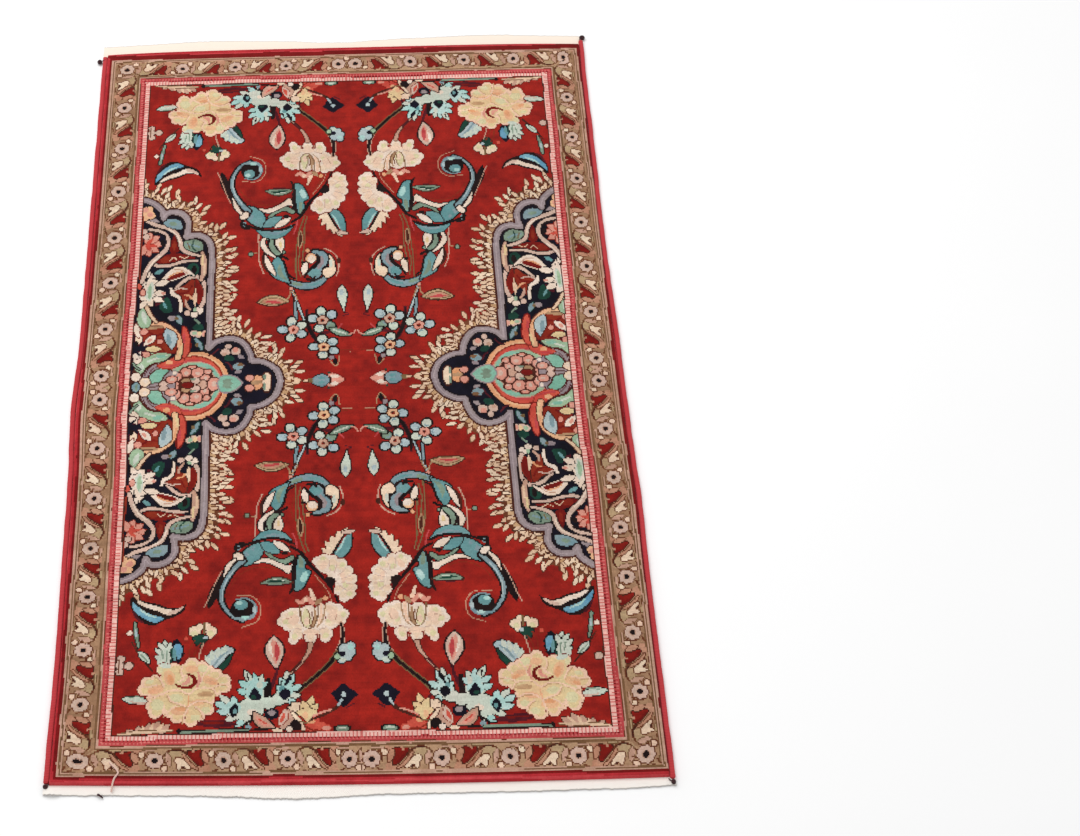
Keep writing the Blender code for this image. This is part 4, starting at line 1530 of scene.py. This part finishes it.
def cotton_finish():
    """Cream cotton flat weave: sine across * sine along its own map gives the threads that
    go over and under, darkened as painted shade where they dip. Soft soiling, a warmer far
    end and a painted grey shadow along the outer edge."""
    f = Finish(
        "cotton_flatweave", Sheen_Weight=0.1, Sheen_Roughness=0.5, Specular_IOR_Level=0.2
    )
    place = f.coords()
    waves_across, waves_along = WEAVE_WAVES
    waves = (waves_across * math.pi, waves_along * math.pi, 1.0)
    threads = f.parts(f.scaled(f.coords("UV"), waves))
    weave = threads[0].sine() * threads[1].sine()
    fibre = f.noise(place, 1100.0)
    soil = f.noise(place, 38.0)
    far = f.parts(place)[1] * 0.7 + 0.5
    clean = f.mix(soil, (255, 253, 248), (253, 246, 238))
    warm = f.mix(far, clean, (250, 236, 220))
    # painted shade: darker where the threads go under
    shaded = f.mix(0.2 - weave * 0.16, warm, (240, 222, 208))
    # painted shadow: the outermost rows turn grey, as a contact shadow along the outer edge
    painted_edge_shadow = (threads[1] * (1 / (waves_along * math.pi)) - 0.64) * 16
    shown = f.mix(painted_edge_shadow, shaded, (196, 190, 184))
    height = weave * 0.6 + fibre * 0.5
    return f.dress(shown, 0.86 + fibre * 0.1, height, 0.6, 0.0007)


def dark_yarn_finish():
    """Dark maroon wool for the tied-off yarn, with painted shade between its plies."""
    f = Finish("dark_yarn", Sheen_Weight=0.25, Sheen_Roughness=0.5, Specular_IOR_Level=0.2)
    groove = f.attribute("groove", "Fac")
    fibre = f.noise(f.coords(), 1300.0)
    base = f.mix(fibre, (40, 14, 20), (78, 32, 36))
    # painted shade: darker in the groove between the plies
    shown = f.mix(groove * 0.6, base, (22, 8, 10))
    return f.dress(shown, 0.8 + fibre * 0.15, fibre, 0.6, 0.0006)


def thread_finish():
    """Loose cream cotton thread, two plies with painted shade in the groove between them."""
    f = Finish("loose_thread", Sheen_Weight=0.1, Sheen_Roughness=0.5, Specular_IOR_Level=0.2)
    groove = f.attribute("groove", "Fac")
    fibre = f.noise(f.coords(), 1300.0)
    base = f.mix(fibre, (240, 214, 200), (226, 186, 172))
    # painted shade: darker in the groove between the plies
    shown = f.mix(groove * 0.5, base, (170, 120, 108))
    return f.dress(shown, 0.85 + fibre * 0.1, fibre, 0.5, 0.0005)


def back_finish():
    """Underside: the knot colours dimmed to 0.74 + 0.16 fibre + 0.08 rows of knot backs,
    where the rows are sine across * sine along."""
    f = Finish("knotted_back", Specular_IOR_Level=0.15)
    colour = f.attribute("yarn", "Color")
    place = f.coords()
    fibre = f.noise(place, 900.0)
    split = f.parts(f.scaled(place, (3490.0, 2990.0, 1.0)))
    rows = split[0].sine() * split[1].sine()
    shown = f.dimmed(colour, 0.74 + fibre * 0.16 + rows * 0.08)
    return f.dress(shown, 0.88 + fibre * 0.1, rows + fibre, 0.5, 0.0006)


# ---------------------------------------------------------------- pile
def rim_run(count, span):
    """Shares from 0 to 1 with three close steps at each end, and the height at each."""
    inset = np.array(RIM_INSETS) / span
    middle = np.linspace(RIM_WIDTH / span, 1 - RIM_WIDTH / span, count + 1)
    shares = np.concatenate([inset, middle, 1 - inset[::-1]])
    heights = np.concatenate([RIM_HEIGHTS, np.ones(count + 1), RIM_HEIGHTS[::-1]])
    return shares, heights


def woven_places(u, v):
    """x and y of the pile at u across, from -1 to 1, and share v along."""
    y = near_edge(u) + (far_edge(u) - near_edge(u)) * v
    return pile_x(u, y), y


def knot_yarns(x, y, seed):
    """Yarn and colour of the knot in the middle of each face of a grid."""
    middle_x = ((x[:-1, :-1] + x[1:, 1:]) / 2).ravel()
    middle_y = ((y[:-1, :-1] + y[1:, 1:]) / 2).ravel()
    yarn = pattern_yarns(middle_x, middle_y)
    return yarn, yarn_colours(yarn, middle_x, middle_y, seed)


def pile_tops(x, y, yarn):
    """Height of the pile: a slow swell, each tuft a little off, and lower by the mean wear
    of the four knots round a point."""
    wear = np.array([WORN.get(name, 0.0) for name in YARNS])[yarn]
    padded = np.pad(wear.reshape(x.shape[0] - 1, -1), 1, mode="edge")
    worn = (padded[:-1, :-1] + padded[1:, :-1] + padded[:-1, 1:] + padded[1:, 1:]) / 4
    tufts = np.random.RandomState(5).normal(0, TUFT_SPREAD, x.shape)
    top = PILE_HEIGHT - 0.0002 + PILE_SWELL * np.sin(9 * x + 1) * np.cos(6 * y - 0.5)
    return top - WEAR_DEPTH * worn + np.clip(tufts, -2 * TUFT_SPREAD, 2 * TUFT_SPREAD)


def knotted_pile():
    """The pile as four strips of knots. A knot at share v along and u across sits at
    y = near edge + v * length, x between the side cords, folding down to the floor at the
    rim by the product of its heights across and along."""
    u_share, u_height = rim_run(KNOT_COLUMNS, PILE_SPAN[0])
    v_share, v_height = rim_run(KNOT_ROWS, PILE_SPAN[1])
    x, y = woven_places((u_share * 2 - 1)[None, :], v_share[:, None])
    yarn, colours = knot_yarns(x, y, 40)
    colours = colours.reshape(x.shape[0] - 1, x.shape[1] - 1, 3)
    z = pile_tops(x, y, yarn) * u_height[None, :] * v_height[:, None]
    material = wool_finish(KNOT_COLUMNS, KNOT_ROWS // STRIPS)
    rim = len(RIM_HEIGHTS)
    inner_cuts = [rim + k * KNOT_ROWS // STRIPS for k in range(1, STRIPS)]
    cuts = [0, *inner_cuts, len(v_share) - 1]
    strips = []
    for k, (low, high) in enumerate(zip(cuts[:-1], cuts[1:])):
        part = slice(low, high + 1)
        points = np.stack([x[part], y[part], z[part]], axis=-1)
        rows, columns = points.shape[:2]
        faces = grid_faces(rows, columns)
        name = f"pile_strip_{k + 1}"
        strip = piece(name, points.reshape(-1, 3), faces, material)
        along = (v_share[part] - v_share[low]) / (v_share[high] - v_share[low])
        shape = (rows, columns)
        lay_uv(strip, np.broadcast_to(u_share, shape), np.broadcast_to(along[:, None], shape))
        face_colours(strip, colours[low:high].reshape(-1, 3))
        strips.append(strip)
    return strips


def rug_back():
    """The underside: a sheet just above the floor under the pile, facing down, with ribs
    of sine along * sine across."""
    columns, rows = 150, 250
    u = np.linspace(-0.998, 0.998, columns)[None, :]
    v = np.linspace(0.001, 0.999, rows)[:, None]
    x, y = woven_places(u, v)
    rib_rows = 0.00025 * np.sin(np.arange(rows) * 1.9)[:, None]
    ribs = 0.0006 + rib_rows * np.sin(np.arange(columns) * 2.2)[None, :]
    points = np.stack([x, y, ribs], axis=-1).reshape(-1, 3)
    faces = grid_faces(rows, columns)[:, ::-1]
    sheet = piece("rug_back", points, faces, back_finish())
    lay_uv(sheet, np.broadcast_to((u + 1) / 2, x.shape), np.broadcast_to(v, x.shape))
    face_colours(sheet, knot_yarns(x, y, 70)[1])
    return sheet


# ---------------------------------------------------------------- side cords
def side_cord(name, material):
    """Overcast side cord: a rounded box carried along the side line, with
    |cos(angle)| ** 0.62 across and |sin(angle)| ** 0.62 up. The wool goes round it as a
    helix, so the size is 1 - 0.1 * (1 - |sin(pi * wraps)| ** 0.7), with the wraps counted
    along the cord less the turn about it; both ends close to a point."""
    sign = -1 if name == "left" else 1
    past_near, past_far = SELVEDGE_OVERRUN[name]
    start = near_edge(sign) - past_near
    end = far_edge(sign) + past_far
    rows = int((end - start) / (WRAP_PITCH / 4))
    y = np.linspace(start, end, rows)
    angle = ring_angles(WRAP_SIDES)
    wraps = (y - start)[:, None] / WRAP_PITCH - angle[None, :] / (2 * np.pi)
    groove = 1 - np.abs(np.sin(np.pi * wraps)) ** 0.7
    along = y * 1000 + NOISE_ORIGIN
    around = angle[None, :] * 3 + NOISE_ORIGIN
    loose = WRAP_LOOSENESS * soft_noise(along[:, None], around, 2.3, 21 + (sign > 0))
    size = 1 - WRAP_DEPTH * groove + loose
    tip = rounded_tip(np.minimum(y - start, end - y) / CORD_TIP, 0.0004)[:, None]
    centre = side(name, y) - sign * SELVEDGE_WIDTH / 2
    centre = centre + CORD_SWAY * soft_noise(along, y * 0, 23, 25)
    out = np.sign(np.cos(angle)) * np.abs(np.cos(angle)) ** CORD_SQUARENESS
    up = np.sign(np.sin(angle)) * np.abs(np.sin(angle)) ** CORD_SQUARENESS
    middle = SELVEDGE_HEIGHT / 2
    x = centre[:, None] + SELVEDGE_WIDTH / 2 * CORD_FULLNESS * size * tip * out[None, :]
    z = np.maximum(middle + middle * size * tip * up[None, :], 0.0)
    rings = np.stack([x, np.broadcast_to(y[:, None], x.shape), z], axis=-1).reshape(-1, 3)
    ends = [[centre[0], start - 0.0002, middle], [centre[-1], end + 0.0002, middle]]
    faces = grid_faces(rows, WRAP_SIDES, wrap=True)
    caps = cap_triangles(rows, WRAP_SIDES)
    points = np.vstack([rings, ends])
    cord = piece(f"overcast_cord_{name}", points, faces, material, caps)
    groove_values(cord, groove)
    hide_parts(f"selvedge_{name}")
    return cord


# ---------------------------------------------------------------- flat-woven ends
def flat_end(name, material):
    """Cream flat weave past the pile. Across it runs from the pile's edge to a wavy outer
    edge; its top carries threads over and under, and the same strip turned under closes
    it. The top's height is (weave + lift * across) * (1 - 0.35 * across ** 4) + threads +
    ear * across."""
    far = name == "far"
    away = 1.0 if far else -1.0
    u = np.linspace(-1, 1, END_COLUMNS)
    edge = far_edge(u) if far else near_edge(u)
    swells = FAR_END_SWELLS if far else NEAR_END_SWELLS
    width = (FAR_END_WIDTH if far else NEAR_END_WIDTH) + humps(u, swells)
    along = u * 430 + NOISE_ORIGIN
    fine = 0.0006 * soft_noise(along, u * 0, 2.2, 31 + far)
    broad = 0.0005 * soft_noise(along, u * 0, 7, 33 + far)
    inner = edge - away * END_TUCK
    outer = edge + away * (width + (fine + broad))
    top_shares = np.linspace(0, 1, END_TOP_ROWS)
    under_shares = np.linspace(1, 0, END_UNDER_ROWS)
    across = np.concatenate([top_shares, [1.0], under_shares])[:, None]
    rows = len(across)
    y = inner + (outer - inner) * across
    flare = 1 + END_FLARE * np.abs(u) ** 6
    x = pile_x(u[None, :], np.broadcast_to(edge, y.shape)) * flare
    thread_columns = THREAD_RISE * np.sin(np.arange(END_COLUMNS) * 2.4)[None, :]
    threads = thread_columns * np.sin(np.arange(rows) * 2.6)[:, None]
    ear = EAR_RISE * np.exp(-(((u - EAR_PLACE) / EAR_SPREAD) ** 2)) * (not far)
    lift = END_LIFT * (1 + soft_noise(along, u * 0, 34, 36 + far))
    taper = 1 - END_TAPER * across**4
    z = (FLATWEAVE_HEIGHT + lift * across) * taper + threads + ear * across
    z_under = ear * across * 0.6 + 0.0001
    fold = END_TOP_ROWS
    z[fold] = (z[fold] + z_under[fold]) / 2
    z[fold + 1 :] = z_under[fold + 1 :]
    points = np.stack([x, y, z], axis=-1).reshape(-1, 3)
    faces = grid_faces(rows, END_COLUMNS)
    if not far:
        faces = faces[:, ::-1]
    made = piece(f"flat_end_{name}", points, faces, material)
    v = (np.arange(rows) / (rows - 1))[:, None]
    lay_uv(made, np.broadcast_to((u + 1) / 2, x.shape), np.broadcast_to(v, x.shape))
    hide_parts(f"kilim_end_{name}")
    return made


# ---------------------------------------------------------------- yarn knots and loose bits
TAILS = {
    "yarn_knot_near_left": "0.0010,0.0006,0.0040 0.0040,0.0026,0.0048 0.0068,0.0052,0.0050",
    "yarn_knot_near_right": "-0.0010,0.0006,0.0040 -0.0042,0.0024,0.0048 -0.0070,0.0050,0.0050",
    "yarn_knot_far_left": "0.0020,0.0004,0.0050 0.0064,0.0022,0.0056 0.0104,0.0034,0.0064",
    "yarn_knot_far_right": "-0.0010,-0.0010,0.0050 -0.0036,-0.0042,0.0058 -0.0058,-0.0072,0.0066",
}
THREAD_PATH = (
    "-0.3452,-0.6790,0.0098 -0.3418,-0.6832,0.0103 -0.3352,-0.6902,0.0102 "
    "-0.3320,-0.6966,0.0104 -0.3350,-0.7015,0.0102 -0.3371,-0.7055,0.0101 "
    "-0.3386,-0.7110,0.0098 -0.3394,-0.7165,0.0090 -0.3405,-0.7235,0.0052"
)
SCRAP_PATH = (
    "-0.3601,-0.7254,0.0040 -0.3575,-0.7262,0.0042 -0.3548,-0.7279,0.0036 -0.3517,-0.7302,0.0020"
)
KNOT_TURNS = 7
KNOT_THREAD = 0.0010
TAIL_THREAD = 0.0009
PATH_STEPS = 8


def tube(name, path, radius, sides, material, twist=YARN_TWIST):
    """Yarn along a path: rings of the radius, set square to the path, less 0.12 of it
    between the plies, which turn as they go; the ends close to a point."""
    path = np.asarray(path, float)
    step = np.gradient(path, axis=0)
    step = step / np.linalg.norm(step, axis=1)[:, None]
    first = np.cross(step, np.array([0.0, 0.0, 1.0]))
    upright = np.linalg.norm(first, axis=1) < 1e-3
    first[upright] = np.cross(step[upright], np.array([1.0, 0.0, 0.0]))
    first = first / np.linalg.norm(first, axis=1)[:, None]
    second = np.cross(first, step)
    lengths = np.linalg.norm(np.diff(path, axis=0), axis=1)
    run = np.concatenate([[0], np.cumsum(lengths)])
    angle = ring_angles(sides)
    phase = PLIES * (angle[None, :] - twist * run[:, None])
    groove = 0.5 - 0.5 * np.cos(phase)
    radius = np.broadcast_to(np.asarray(radius, float), (len(path),))
    to_end = np.minimum(run, run[-1] - run) / np.maximum(radius, 1e-5)
    size = (radius * rounded_tip(to_end, 0.02))[:, None] * (1 - PLY_DEPTH * groove)
    across = np.cos(angle)[None, :, None] * first[:, None, :]
    upward = np.sin(angle)[None, :, None] * second[:, None, :]
    rings = path[:, None, :] + size[..., None] * (across + upward)
    points = np.vstack([rings.reshape(-1, 3), path[0], path[-1]])
    faces = grid_faces(len(path), sides, wrap=True)
    made = piece(name, points, faces, material, cap_triangles(len(path), sides))
    groove_values(made, groove)
    return made


def yarn_knot(name, tail, material, phase):
    """Tied-off yarn: one thread wound round a small ball, its winding plane turning as it
    goes, with a loose tail lying outwards. It keeps to the box of the solid it stands for."""
    low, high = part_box(name)
    centre = (np.array(low) + np.array(high)) / 2
    half = (np.array(high) - np.array(low)) / 2
    t = np.linspace(0, 1, 260)
    turn = 2 * np.pi * KNOT_TURNS * t
    plane = np.pi * t * 1.7 + phase
    rise = np.sin(turn)
    ring = np.stack([np.cos(turn), rise * np.cos(plane), rise * np.sin(plane)], axis=-1)
    wobble = 1 + 0.06 * np.sin(turn * 2.3 + phase)
    path = centre + ring * wobble[:, None] * (half - KNOT_THREAD) * 0.97
    ball = tube(name + "_yarn", path, KNOT_THREAD, 7, material)
    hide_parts(name)
    path = smooth_line(points_of(tail) + (centre[0], centre[1], 0.0), PATH_STEPS)
    return [ball, tube(name + "_tail_1", path, TAIL_THREAD, 7, material)]


def loose_thread(material):
    """Cream thread that has come loose over the near border and the flat weave."""
    path = smooth_line(points_of(THREAD_PATH), PATH_STEPS)
    return tube("loose_thread", path, 0.0014, 8, material, THREAD_TWIST)


def dark_scrap(material):
    """Short dark scrap of yarn lying at the near end, thinner towards one end."""
    path = smooth_line(points_of(SCRAP_PATH), PATH_STEPS)
    radius = np.linspace(0.0019, 0.0011, len(path))
    return tube("dark_scrap", path, radius, 7, material)


strips = knotted_pile()
for strip in strips:
    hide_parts("knotted_pile")
back = rug_back()
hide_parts("knotted_pile")
wool_cord = cord_finish()
cords = [side_cord("left", wool_cord), side_cord("right", wool_cord)]
cotton = cotton_finish()
ends = [flat_end("near", cotton), flat_end("far", cotton)]
maroon = dark_yarn_finish()
knots = []
for k, (knot, tail) in enumerate(TAILS.items()):
    knots += yarn_knot(knot, tail, maroon, 0.7 * k)
bits = [loose_thread(thread_finish()), dark_scrap(maroon)]


# ---------------------------------------------------------------- floor, light and camera
def floor():
    """Plain pale floor, a little below the rug."""
    size = 14.0
    depth = -0.0004
    corners = [(-size, -size, depth), (size, -size, depth), (size, size, depth), (-size, size, depth)]
    mesh = bpy.data.meshes.new("floor")
    mesh.from_pydata(corners, [], [(0, 1, 2, 3)])
    f = Finish("floor_paper", Roughness=0.9, Specular_IOR_Level=0.1)
    shown = f.mix(f.noise(f.coords(), 3.0, 2.0, 0.5), (252, 252, 252), (250, 250, 250))
    f.links.new(shown.socket, f.shader.inputs["Base Color"])
    mesh.materials.append(f.material)
    plane = bpy.data.objects.new("floor", mesh)
    bpy.context.scene.collection.objects.link(plane)


def studio():
    """White surround with one big soft box over the far end, aimed at the rug's middle."""
    world = bpy.data.worlds.new("studio")
    world.use_nodes = True
    surround = world.node_tree.nodes["Background"]
    surround.inputs["Color"].default_value = (1.0, 1.0, 1.0, 1.0)
    surround.inputs["Strength"].default_value = 0.72
    bpy.context.scene.world = world
    lamp = bpy.data.lights.new("soft_box", "AREA")
    lamp.shape = "SQUARE"
    lamp.size = 2.6
    lamp.energy = 62
    thing = bpy.data.objects.new("soft_box", lamp)
    bpy.context.scene.collection.objects.link(thing)
    x, y, z = place = (-0.9, 1.0, 3.2)
    thing.location = place
    thing.rotation_euler = (math.atan2(math.hypot(x, y), z), 0.0, math.atan2(x, -y))
    bpy.context.scene.view_settings.view_transform = "Standard"
    bpy.context.scene.view_settings.look = "None"


def camera():
    """The photograph's viewpoint: before the near end, looking down 54 degrees. Its axes
    are right, up and back, turned by the roll about the way it looks."""
    azimuth = math.radians(2.812)
    down = math.radians(53.766)
    roll = math.radians(0.606)
    level = math.cos(down)
    forward = np.array([math.sin(azimuth) * level, math.cos(azimuth) * level, -math.sin(down)])
    right = np.cross(forward, (0, 0, 1))
    right = right / np.linalg.norm(right)
    up = np.cross(right, forward)
    rolled_right = math.cos(roll) * right + math.sin(roll) * up
    rolled_up = -math.sin(roll) * right + math.cos(roll) * up
    data = bpy.data.cameras.new("camera")
    data.lens = 71.0
    data.sensor_width = 36.0
    data.shift_x = 0.1
    thing = bpy.data.objects.new("camera", data)
    bpy.context.scene.collection.objects.link(thing)
    axes = np.stack([rolled_right, rolled_up, -forward], axis=1)
    thing.rotation_euler = Matrix(axes.tolist()).to_euler()
    thing.location = (0.02846, -2.04915, 2.66234)
    bpy.context.scene.camera = thing


floor()
studio()
camera()
